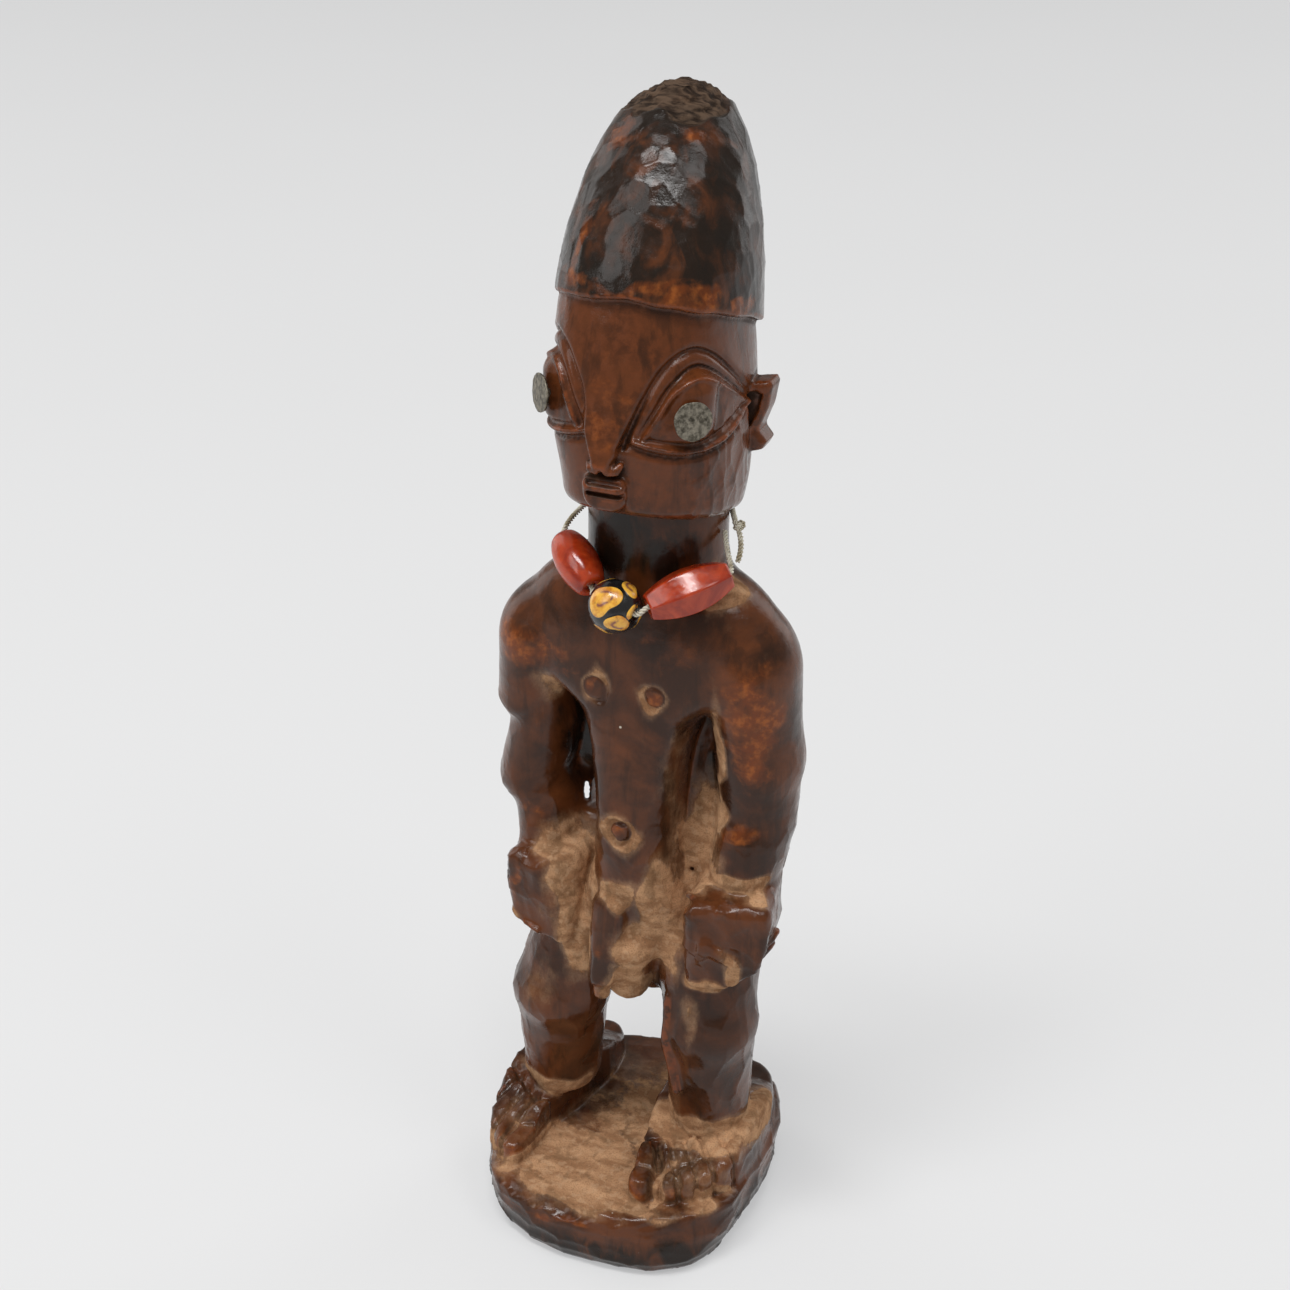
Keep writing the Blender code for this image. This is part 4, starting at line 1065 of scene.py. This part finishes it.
def twisted_strands(name, path, plies, ply_radius, offset, pitch, sides=8):
    """Plies twisted round a path, and the smoothed line that they follow."""
    steps = np.linalg.norm(np.diff(path, axis=0), axis=1)
    travelled = np.concatenate(([0], np.cumsum(steps)))
    count = int(travelled[-1] / 0.25)
    even = np.linspace(0, travelled[-1], count)
    line = np.stack([np.interp(even, travelled, path[:, k]) for k in range(3)], axis=1)
    for _ in range(3):
        line[1:-1] = (line[:-2] + 2 * line[1:-1] + line[2:]) / 4
    forward = np.gradient(line, axis=0)
    forward /= np.linalg.norm(forward, axis=1)[:, None]
    side = np.cross(forward[0], (0.3, 0.2, 0.93))
    sides_along = []
    for direction in forward:
        side = side - direction * (side @ direction)
        side /= np.linalg.norm(side)
        sides_along.append(side)
    side = np.array(sides_along)
    up = np.cross(forward, side)
    points, faces = [], []
    angle = np.linspace(0, 2 * np.pi, sides, endpoint=False)
    end_taper = np.clip(np.minimum(even, even[-1] - even) / 0.3, 0.05, 1)
    for ply in range(plies):
        turn = 2 * np.pi * (even / pitch + ply / plies)
        out = spokes(turn, side, up)
        over = -np.sin(turn)[:, None] * side + np.cos(turn)[:, None] * up
        wobble = 1 + 0.08 * np.sin(even * 1.9 + ply * 2.1) + 0.05 * np.sin(even * 5.3 + ply)
        centre = line + out * offset
        radius = (ply_radius * wobble * end_taper)[:, None, None]
        ring_points = centre[:, None, :] + radius * (
            np.cos(angle)[None, :, None] * out[:, None, :] + np.sin(angle)[None, :, None] * over[:, None, :]
        )
        faces.append(lattice_faces(count, sides) + len(points) * count * sides)
        points.append(ring_points.reshape(-1, 3))
    obj = mesh_object(name, np.concatenate(points), np.concatenate(faces))
    return obj, line


# ---- necklace and eyes ----

# How far the cord runs straight inside and outside each end of a bead, then the ends of each bead.
LEAD_INSIDE = 1.0
LEAD_OUTSIDE = 0.5
RIGHT_BEAD = ((-16.6, -6.6, 176.3), (-6.1, -14.8, 169.9))
TRADE_BEAD = ((-4.9, -16.5, 168.5), (5.3, -17.9, 167.3))
LEFT_BEAD = ((7.2, -16.6, 168.6), (21.0, -4.7, 173.8))
RIGHT_RADIUS = 4.6
TRADE_RADIUS = 5.9
LEFT_RADIUS = 5.3
STONE_BORE = 1.0
TRADE_BORE = 1.2
# Share of a stone bead's line that is left free at each end.
END_GAP = 0.012
CORD_START = (
    (21.0, -0.2, 174.4), (21.0, 2.0, 176.6), (19.8, 4.4, 178.8), (17.8, 6.8, 180.2), (16.0, 10.2, 180.4),
)
CORD_NAPE = (
    (13.6, 15.0, 180.4), (8.4, 19.6, 180.4), (2.8, 21.5, 180.4), (-2.8, 21.5, 180.4),
    (-8.4, 19.6, 180.4), (-13.6, 15.0, 180.2), (-16.0, 9.0, 179.8), (-16.6, 2.6, 179.4),
)
CORD_RIGHT = ((-16.9, -3.2, 178.4),)
CORD_END = ((19.8, -1.6, 175.2), (18.2, 0.8, 176.6), (17.0, 2.8, 178.2), (16.4, 4.2, 179.4))
KNOT_CENTRE = (18.55, 6.5, 179.9)
# Eye discs: the seat of each on its eyeball, the direction that it faces, and how far it stands off.
EYES = (
    ("left", (16.4, -15.6, 211.4), (0.66, -0.74, 0.1), 0.3),
    ("right", (-15.6, -14.9, 212.4), (-0.68, -0.72, 0.08), 1.1),
)
DISC_RADIUS = 4.0
DISC_THICKNESS = 0.9
SHANK_RADIUS = 0.9
SHANK_LENGTH = 5.0
# Directions on the trade bead in which its ochre patches lie, and their width in radians.
OCHRE_PATCHES = (
    ((-0.17, -0.78, 0.60), 0.66), ((0.57, 0.12, 0.81), 0.42), ((0.45, -0.86, -0.25), 0.44),
    ((-0.80, 0.30, -0.50), 0.60), ((0.10, 0.98, 0.10), 0.60), ((0.70, 0.40, -0.60), 0.45),
    ((-0.36, -0.36, -0.86), 0.50), ((-0.50, 0.50, 0.70), 0.42), ((0.93, -0.36, 0.10), 0.34),
)


def cord_route():
    """The cord's line: up the left side, round the nape and down, through the beads and up again."""
    straight = []
    for ends in (RIGHT_BEAD, TRADE_BEAD, LEFT_BEAD):
        start, end = np.array(ends[0]), np.array(ends[1])
        along = (end - start) / np.linalg.norm(end - start)
        straight += [start - along * LEAD_OUTSIDE, start + along * LEAD_INSIDE]
        straight += [end - along * LEAD_INSIDE, end + along * LEAD_OUTSIDE]
    rows = np.array([*CORD_START, *CORD_NAPE, *CORD_RIGHT, *straight, *CORD_END])
    result = [rows[0]]
    for first, second in zip(rows, rows[1:]):
        result += [0.75 * first + 0.25 * second, 0.25 * first + 0.75 * second]
    return np.array([*result, rows[-1]])


def necklace_cord():
    """The cord, the line that it follows and the length of that line."""
    cord, line = twisted_strands("cord_twist", cord_route(), 3, 0.3, 0.345, 2.6)
    length = np.linalg.norm(np.diff(line, axis=0), axis=1).sum()
    return cord, line, length


def cord_knot():
    """A small overhand knot drawn tight round the cord, with two cut ends."""
    turn = np.linspace(0, 2 * np.pi, 60)
    centre = np.array(KNOT_CENTRE)
    loop = np.stack((
        0.38 * (np.sin(turn) + 2 * np.sin(2 * turn)),
        0.42 * (np.cos(turn) - 2 * np.cos(2 * turn)),
        -0.5 * np.sin(3 * turn),
    ), axis=1)
    knot, _ = twisted_strands("knot_twist", centre + loop, 3, 0.26, 0.3, 2.2)
    return knot


def capped(swelling, mouth):
    """A bead's profile: its end faces, out from the mouth of the bore, and its swelling side."""
    side = [(END_GAP + (1 - 2 * END_GAP) * t, radius) for t, radius in swelling]
    return [(END_GAP, mouth), *side, (1 - END_GAP, mouth)]


def carnelian_right():
    """A barrel-shaped bead, a little uneven all round."""
    share = np.linspace(0, 1, 33)
    swelling = [(t, RIGHT_RADIUS * (0.56 + 0.44 * math.sin(math.pi * t) ** 0.62)) for t in share]
    return turned_ring(
        "bead_carnelian_right", RIGHT_BEAD, capped(swelling, 2.0), STONE_BORE,
        lambda turn: 1 + 0.012 * np.sin(3 * turn + 1),
    )


def six_sided(turn, first):
    """Six flat sides with rounded corners, as a share of the corner radius, from that angle on."""
    sides = np.arange(6) * np.pi / 3 + first
    pull = np.maximum(np.cos(turn[:, None] - sides), 0) / np.cos(np.pi / 6)
    return (pull**34).sum(axis=1) ** (-1 / 34)


# The way that one flat side of the left bead faces.
FLAT_SIDE = (0.215, -0.661, 0.72)


def carnelian_left():
    """A long bead with six flat sides."""
    share = np.linspace(0, 1, 41)
    swelling = [(t, LEFT_RADIUS * (0.56 + 0.44 * (1 - abs(2 * t - 1) ** 2.0))) for t in share]
    across, up, _ = axes_along(np.subtract(LEFT_BEAD[1], LEFT_BEAD[0]))
    first = math.atan2(up @ FLAT_SIDE, across @ FLAT_SIDE)
    return turned_ring(
        "bead_carnelian_left", LEFT_BEAD, capped(swelling, 2.2), STONE_BORE,
        lambda turn: six_sided(turn, first), 144,
    )


def patch_marks(directions):
    """For directions from the trade bead's centre: inside an ochre patch, and on its purple loop."""
    inside = np.zeros(len(directions))
    loop = np.zeros(len(directions))
    for number, (middle, width) in enumerate(OCHRE_PATCHES):
        middle = np.array(middle) / np.linalg.norm(middle)
        across, up, _ = axes_along(middle)
        x, y = directions @ across, directions @ up
        apart = np.arccos(np.clip(directions @ middle, -1, 1))
        turn = np.arctan2(y, x)
        reach = width * (1 + 0.16 * np.sin(2 * turn + number) + 0.1 * np.sin(3 * turn + 2 * number))
        inside = np.maximum(inside, np.clip((reach - apart) / 0.07, 0, 1))
        ring_gap = np.abs(apart - reach * (0.42 + 0.1 * np.sin(turn + number)))
        open_part = np.clip((np.cos(turn - number * 1.7) + 0.75) * 3, 0, 1)
        loop = np.maximum(loop, np.exp(-((ring_gap / 0.06) ** 2)) * open_part)
    return inside, loop


def trade_bead():
    """A round glass bead whose patches stand slightly proud."""
    share = 0.004 + 0.992 * np.linspace(0, 1, 97)
    along = np.linalg.norm(np.subtract(*TRADE_BEAD)) / 2 * (2 * share - 1)
    radii = 0.985 * np.sqrt(np.maximum(TRADE_RADIUS**2 - along**2, 1.0))
    obj = turned_ring(
        "bead_trade", TRADE_BEAD, list(zip(share, radii)), TRADE_BORE, lambda turn: 1 + 0 * turn, 192,
        lambda directions: 0.16 * patch_marks(directions)[0] - 0.12,
    )
    middle = (np.array(TRADE_BEAD[0]) + np.array(TRADE_BEAD[1])) / 2
    points = np.empty(len(obj.data.vertices) * 3, np.float32)
    obj.data.vertices.foreach_get("co", points)
    outward = points.reshape(-1, 3) / MM - middle
    inside, loop = patch_marks(outward / np.linalg.norm(outward, axis=1)[:, None])
    add_marks(obj, {"patch": inside, "loop": loop})
    return obj


def eye_disc(side, seat, direction, stand_off):
    """A beaten metal disc on its shank, slightly domed, with an uneven rim."""
    across, up, along = axes_along(direction)
    centre = np.array(seat) + along * (stand_off + DISC_THICKNESS / 2)
    radii = np.linspace(0.02, 1, 26)
    rows = [(r * DISC_RADIUS, DISC_THICKNESS * (0.5 - 0.28 * r**2)) for r in radii]
    rows += [(DISC_RADIUS * 1.012, 0.0), (DISC_RADIUS * 0.985, -DISC_THICKNESS * 0.42)]
    rows += [(r * DISC_RADIUS, -DISC_THICKNESS * 0.48) for r in np.linspace(0.9, 0.3, 8)]
    rows += [(SHANK_RADIUS, -DISC_THICKNESS * 0.5)]
    rows += [(SHANK_RADIUS, -SHANK_LENGTH), (0.02, -SHANK_LENGTH)]
    columns = 72
    turn = np.linspace(0, 2 * np.pi, columns, endpoint=False)
    points = []
    for radius, level in rows:
        rim = 1 + 0.014 * np.sin(3 * turn + 0.5) + 0.01 * np.sin(7 * turn)
        flat = radius * rim[:, None] * spokes(turn, across, up)
        points.append(centre + flat + along * level)
    points = np.concatenate(points)
    front = (points - centre) @ along > 0
    dents = 0.07 * ripple(points, 0.9, 61) + 0.05 * ripple(points, 0.45, 62) - 0.05
    points = points + along * (dents * front)[:, None]
    faces = lattice_faces(len(rows), columns)
    return mesh_object("eye_metal_" + side, points, faces[:, ::-1])


# ---- materials ----

def shade(red, green, blue):
    """A colour named by its screen values, as the renderer counts light."""
    shares = (value / 255 for value in (red, green, blue))
    light = [((share + 0.055) / 1.055) ** 2.4 if share > 0.04 else share / 12.92 for share in shares]
    return (*light, 1.0)


class Surface:
    """One procedural material, with short calls for the nodes that it is made of."""

    def __init__(self, name):
        self.material = bpy.data.materials.new(name)
        self.material.use_nodes = True
        self.tree = self.material.node_tree
        self.shader = self.tree.nodes["Principled BSDF"]
        self.place = self.tree.nodes.new("ShaderNodeTexCoord").outputs["Object"]

    def link(self, source, socket):
        if hasattr(source, "is_linked"):
            self.tree.links.new(source, socket)
        else:
            socket.default_value = source

    def mark(self, name):
        node = self.tree.nodes.new("ShaderNodeAttribute")
        node.attribute_name = name
        return node.outputs["Fac"]

    def noise(self, scale, detail=4.0, stretch=(1, 1, 1), roughness=0.55, distortion=0.0):
        mapping = self.tree.nodes.new("ShaderNodeMapping")
        mapping.inputs["Scale"].default_value = stretch
        self.link(self.place, mapping.inputs["Vector"])
        node = self.tree.nodes.new("ShaderNodeTexNoise")
        self.link(mapping.outputs["Vector"], node.inputs["Vector"])
        node.inputs["Scale"].default_value = scale
        node.inputs["Detail"].default_value = detail
        node.inputs["Roughness"].default_value = roughness
        node.inputs["Distortion"].default_value = distortion
        return node.outputs["Fac"]

    def cells(self, scale):
        node = self.tree.nodes.new("ShaderNodeTexVoronoi")
        self.link(self.place, node.inputs["Vector"])
        node.inputs["Scale"].default_value = scale
        return node.outputs["Distance"]

    def math(self, kind, first, second=0.0):
        node = self.tree.nodes.new("ShaderNodeMath")
        node.operation = kind
        self.link(first, node.inputs[0])
        self.link(second, node.inputs[1])
        return node.outputs[0]

    def between(self, value, low, high, start=0.0, end=1.0):
        """start where the value is at low, end where it is at high, and even between them."""
        node = self.tree.nodes.new("ShaderNodeMapRange")
        node.interpolation_type = "SMOOTHSTEP"
        self.link(value, node.inputs["Value"])
        for socket, number in zip(node.inputs[1:5], (low, high, start, end)):
            socket.default_value = number
        return node.outputs[0]

    def blend(self, below, above, share):
        node = self.tree.nodes.new("ShaderNodeMix")
        node.data_type = "RGBA"
        self.link(share, node.inputs[0])
        self.link(below, node.inputs[6])
        self.link(above, node.inputs[7])
        return node.outputs[2]

    def bump(self, height, strength, distance):
        node = self.tree.nodes.new("ShaderNodeBump")
        node.inputs["Strength"].default_value = strength
        node.inputs["Distance"].default_value = distance
        self.link(height, node.inputs["Height"])
        self.link(node.outputs["Normal"], self.shader.inputs["Normal"])

    def set(self, name, value):
        self.link(value, self.shader.inputs[name])


def wood():
    """Handled wood: dark brown, black patina, painted shade in hollows and under and between parts, orange
    where it is rubbed, and a pale dry crust.
    """
    s = Surface("carved_wood")
    broad = s.noise(70, 6, distortion=0.4)
    middle = s.noise(190, 6, distortion=0.7, stretch=(1.0, 1.0, 0.6))
    fine = s.noise(520, 6)
    speck = s.noise(3000, 3)
    grain = s.noise(260, 5, stretch=(1.0, 1.0, 0.16))
    colour = s.blend(shade(54, 30, 17), shade(94, 51, 26), s.between(broad, 0.36, 0.64))
    ruddy = s.math("MULTIPLY", s.mark("face"), s.between(fine, 0.36, 0.66, 0.35, 1.0))
    colour = s.blend(colour, shade(98, 51, 25), ruddy)
    colour = s.blend(colour, shade(38, 23, 13), s.math("MULTIPLY", s.between(grain, 0.52, 0.66), 0.5))
    # Black patina, mottled, with painted shade under the chin, beside the trunk and between parts.
    dark = s.math("ADD", s.mark("soot_and_shade"), s.math("MULTIPLY", middle, -1.2))
    soot_and_shade = s.between(dark, -0.05, 0.32)
    colour = s.blend(colour, shade(25, 20, 15), s.math("MULTIPLY", soot_and_shade, 0.92))
    cloud = s.noise(230, 6, roughness=0.58, distortion=0.5)
    glow = s.math("ADD", s.mark("glow"), s.math("MULTIPLY", cloud, 1.7))
    glow = s.between(glow, 1.25, 2.05)
    warm = s.blend(shade(118, 57, 20), shade(162, 88, 34), s.between(fine, 0.42, 0.68))
    colour = s.blend(colour, warm, s.math("MULTIPLY", glow, 0.75))
    rubbed = s.math("MULTIPLY", s.between(s.mark("edge"), 0.4, 0.95), s.between(fine, 0.4, 0.6))
    colour = s.blend(colour, shade(124, 62, 28), s.math("MULTIPLY", rubbed, 0.7))
    # Painted shade: hollows and creases are darkened, the deepest most.
    shadow = s.between(s.mark("hollow"), 0.3, 0.9)
    colour = s.blend(colour, shade(28, 19, 14), s.math("MULTIPLY", shadow, 0.78))
    rings = s.noise(700, 5, stretch=(0.25, 1.0, 1.0), distortion=0.5)
    crown = s.blend(shade(36, 27, 21), shade(92, 74, 60), s.between(rings, 0.36, 0.64))
    colour = s.blend(colour, crown, s.math("MULTIPLY", s.mark("crown"), 0.9))
    crumbs = s.noise(260, 9, roughness=0.7, stretch=(1.0, 1.0, 0.55))
    ragged = s.math("ADD", s.mark("crust"), s.math("MULTIPLY", crumbs, 0.85))
    ragged = s.math("ADD", ragged, s.math("MULTIPLY", s.mark("hollow"), 0.15))
    film = s.between(ragged, 0.5, 1.02, 0.0, 0.5)
    crust = s.between(ragged, 0.82, 1.0)
    streaks = s.noise(300, 6, stretch=(0.4, 0.8, 1.0), distortion=0.3)
    dust = s.blend(shade(146, 107, 77), shade(188, 146, 110), s.between(streaks, 0.36, 0.64))
    dust = s.blend(dust, shade(100, 76, 56), s.math("MULTIPLY", s.between(speck, 0.48, 0.66), 0.42))
    dust = s.blend(dust, shade(112, 84, 60), s.math("MULTIPLY", s.between(middle, 0.5, 0.62), 0.5))
    dust = s.blend(dust, shade(190, 156, 124), s.math("MULTIPLY", s.between(fine, 0.52, 0.62), 0.35))
    colour = s.blend(colour, dust, s.math("MAXIMUM", film, crust))
    white = s.between(s.cells(110), 0.038, 0.024)
    colour = s.blend(colour, shade(195, 186, 170), s.math("MULTIPLY", white, s.between(middle, 0.54, 0.6)))
    s.set("Base Color", colour)
    polish = s.between(fine, 0.3, 0.7, 0.13, 0.27)
    dull = s.math("MAXIMUM", crust, s.math("MULTIPLY", shadow, 0.6))
    dull = s.math("MAXIMUM", dull, s.math("MULTIPLY", s.mark("crown"), 0.75))
    s.set("Roughness", s.math("MAXIMUM", polish, s.math("MULTIPLY", dull, 0.95)))
    s.set("Specular IOR Level", s.between(dull, 0.0, 1.0, 0.3, 0.06))
    height = s.math("MULTIPLY", speck, s.between(crust, 0, 1, 0.1, 0.7))
    height = s.math("ADD", height, s.math("MULTIPLY", grain, 0.4))
    s.bump(s.math("ADD", height, s.math("MULTIPLY", fine, 0.35)), 0.5, 0.0004)
    return s.material


def carnelian():
    s = Surface("carnelian")
    cloud = s.noise(180, 4, distortion=0.8)
    colour = s.blend(shade(142, 38, 11), shade(184, 66, 28), s.between(cloud, 0.35, 0.65))
    pit = s.between(s.cells(700), 0.1, 0.05)
    colour = s.blend(colour, shade(110, 40, 28), s.math("MULTIPLY", pit, 0.5))
    s.set("Base Color", colour)
    s.set("Roughness", s.between(s.noise(900, 4), 0.3, 0.7, 0.1, 0.24))
    s.set("IOR", 1.54)
    s.set("Subsurface Weight", 0.3)
    s.set("Subsurface Radius", (1.0, 0.28, 0.14))
    s.set("Subsurface Scale", 0.003)
    s.bump(s.math("SUBTRACT", s.noise(500, 3), s.math("MULTIPLY", pit, 0.6)), 0.12, 0.0003)
    return s.material


def trade_glass():
    s = Surface("trade_glass")
    inside = s.between(s.mark("patch"), 0.35, 0.65)
    ochre = s.blend(shade(200, 128, 34), shade(238, 180, 66), s.between(s.noise(420, 5), 0.36, 0.6))
    loop = s.math("MULTIPLY", s.mark("loop"), s.between(s.noise(600, 4), 0.3, 0.55))
    ochre = s.blend(ochre, shade(120, 66, 62), loop)
    colour = s.blend(shade(20, 19, 20), ochre, inside)
    crack = s.between(s.noise(1500, 4), 0.6, 0.7)
    s.set("Base Color", s.blend(colour, shade(60, 40, 24), s.math("MULTIPLY", crack, 0.35)))
    s.set("Roughness", s.between(s.noise(800, 4), 0.3, 0.7, 0.14, 0.34))
    s.set("Coat Weight", 0.35)
    s.set("Coat Roughness", 0.12)
    s.bump(s.noise(1300, 4), 0.2, 0.0002)
    return s.material


def dull_metal():
    s = Surface("dull_metal")
    tarnish = s.noise(900, 6, roughness=0.65)
    colour = s.blend(shade(82, 77, 67), shade(152, 145, 131), s.between(tarnish, 0.36, 0.64))
    dark = s.between(s.noise(520, 5), 0.56, 0.68)
    s.set("Base Color", s.blend(colour, shade(48, 44, 37), s.math("MULTIPLY", dark, 0.75)))
    s.set("Metallic", 0.88)
    s.set("Roughness", s.between(tarnish, 0.3, 0.7, 0.34, 0.6))
    s.bump(tarnish, 0.5, 0.0003)
    return s.material


def cotton():
    s = Surface("cotton")
    soil = s.noise(260, 5)
    colour = s.blend(shade(168, 156, 130), shade(232, 228, 212), s.between(soil, 0.35, 0.6))
    s.set("Base Color", colour)
    s.set("Roughness", s.between(s.noise(2400, 3), 0.3, 0.7, 0.8, 0.98))
    s.bump(s.noise(3800, 4, stretch=(1, 1, 0.4)), 0.6, 0.0002)
    return s.material


def floor_paper():
    """Pale paper with a little light of its own, so that it stays even to its far edge."""
    s = Surface("pale_floor")
    s.set("Base Color", s.blend(shade(166, 166, 166), shade(170, 170, 170), s.noise(3, 2)))
    s.set("Roughness", 0.9)
    s.set("Specular IOR Level", 0.1)
    s.set("Emission Color", shade(226, 227, 229))
    s.set("Emission Strength", 0.51)
    return s.material


# ---- camera, floor and light ----

CAMERA_AZIMUTH = math.radians(22.95)
CAMERA_ELEVATION = math.radians(27.57)
CAMERA_DISTANCE = 0.4776
CAMERA_TARGET = Vector((-0.0003, 0.0, 0.1504))
CAMERA_LENS = 60.73
SENSOR_WIDTH = 36.0
ROOM_COLOUR = (1.0, 0.98, 0.94, 1.0)
ROOM_STRENGTH = 0.34
FLOOR_HALF = 4000.0
# Lights: name, azimuth and elevation in degrees, distance, width, height, power in watts.
LIGHTS = (
    ("top", -2, 72, 2.0, 1.2, 0.34, 22.5),
    ("left_wall", -104, 20, 2.2, 1.0, 2.4, 9.0),
    ("right_wall", 150, 20, 2.2, 0.8, 2.4, 9.0),
    ("front_left", -36, 40, 2.2, 0.9, 1.3, 9.6),
    ("upper_right", 74, 56, 2.0, 0.6, 0.6, 4.4),
)


def towards(azimuth, elevation):
    """The direction from the figure at that azimuth, where 0 is its front and 90 its left side."""
    flat = math.cos(elevation)
    return Vector((math.sin(azimuth) * flat, -math.cos(azimuth) * flat, math.sin(elevation)))


def add_camera():
    camera = bpy.data.objects.new("camera", bpy.data.cameras.new("camera"))
    camera.data.lens = CAMERA_LENS
    camera.data.sensor_width = SENSOR_WIDTH
    camera.data.clip_start = 0.01
    direction = towards(CAMERA_AZIMUTH, CAMERA_ELEVATION)
    camera.location = CAMERA_TARGET + direction * CAMERA_DISTANCE
    camera.rotation_euler = (-direction).to_track_quat("-Z", "Y").to_euler()
    bpy.context.scene.collection.objects.link(camera)
    bpy.context.scene.camera = camera


def add_light(name, azimuth, elevation, distance, width, height, power):
    lamp = bpy.data.lights.new(name, "AREA")
    lamp.shape = "RECTANGLE"
    lamp.size = width
    lamp.size_y = height
    lamp.energy = power
    obj = bpy.data.objects.new(name, lamp)
    direction = towards(math.radians(azimuth), math.radians(elevation))
    obj.location = CAMERA_TARGET + direction * distance
    obj.rotation_euler = direction.to_track_quat("Z", "Y").to_euler()
    bpy.context.scene.collection.objects.link(obj)


def add_studio():
    """Pale floor, soft light from all round and the lamps."""
    scene = bpy.context.scene
    scene.view_settings.view_transform = "Standard"
    world = bpy.data.worlds.new("pale_room")
    world.use_nodes = True
    background = world.node_tree.nodes["Background"]
    background.inputs["Color"].default_value = ROOM_COLOUR
    background.inputs["Strength"].default_value = ROOM_STRENGTH
    scene.world = world
    corners = FLOOR_HALF * np.array(((-1, -1, 0), (1, -1, 0), (1, 1, 0), (-1, 1, 0)))
    floor = mesh_object("floor", corners, np.array(((0, 1, 2, 3),)))
    floor.data.materials.append(floor_paper())
    for row in LIGHTS:
        add_light(*row)


def dress(obj, material, body, slot, *nodes):
    """Gives a piece its material and says which body and CAD nodes it stands for; the slot is not used."""
    obj.data.materials.append(material)
    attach(obj, body)
    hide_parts(*nodes)


add_camera()
cord, cord_line, cord_length = necklace_cord()
knot = cord_knot()
thread = cotton()
dress(cord, thread, "necklace", "cotton", "necklace_cord")
dress(knot, thread, "necklace", "cotton", "cord_knot")
stone = carnelian()
left_stone, right_stone, glass = carnelian_left(), carnelian_right(), trade_bead()
dress(left_stone, stone, "bead_left", "carnelian", "carnelian_bead_left")
dress(right_stone, stone, "bead_right", "carnelian", "carnelian_bead_right")
dress(glass, trade_glass(), "bead_middle", "black_glass", "trade_bead")
metal = dull_metal()
for row in EYES:
    dress(eye_disc(*row), metal, "figure", "dull_metal", "eye_disc_" + row[0])
dress(carved_figure(), wood(), "figure", "dark_wood", "carved_figure")
add_studio()
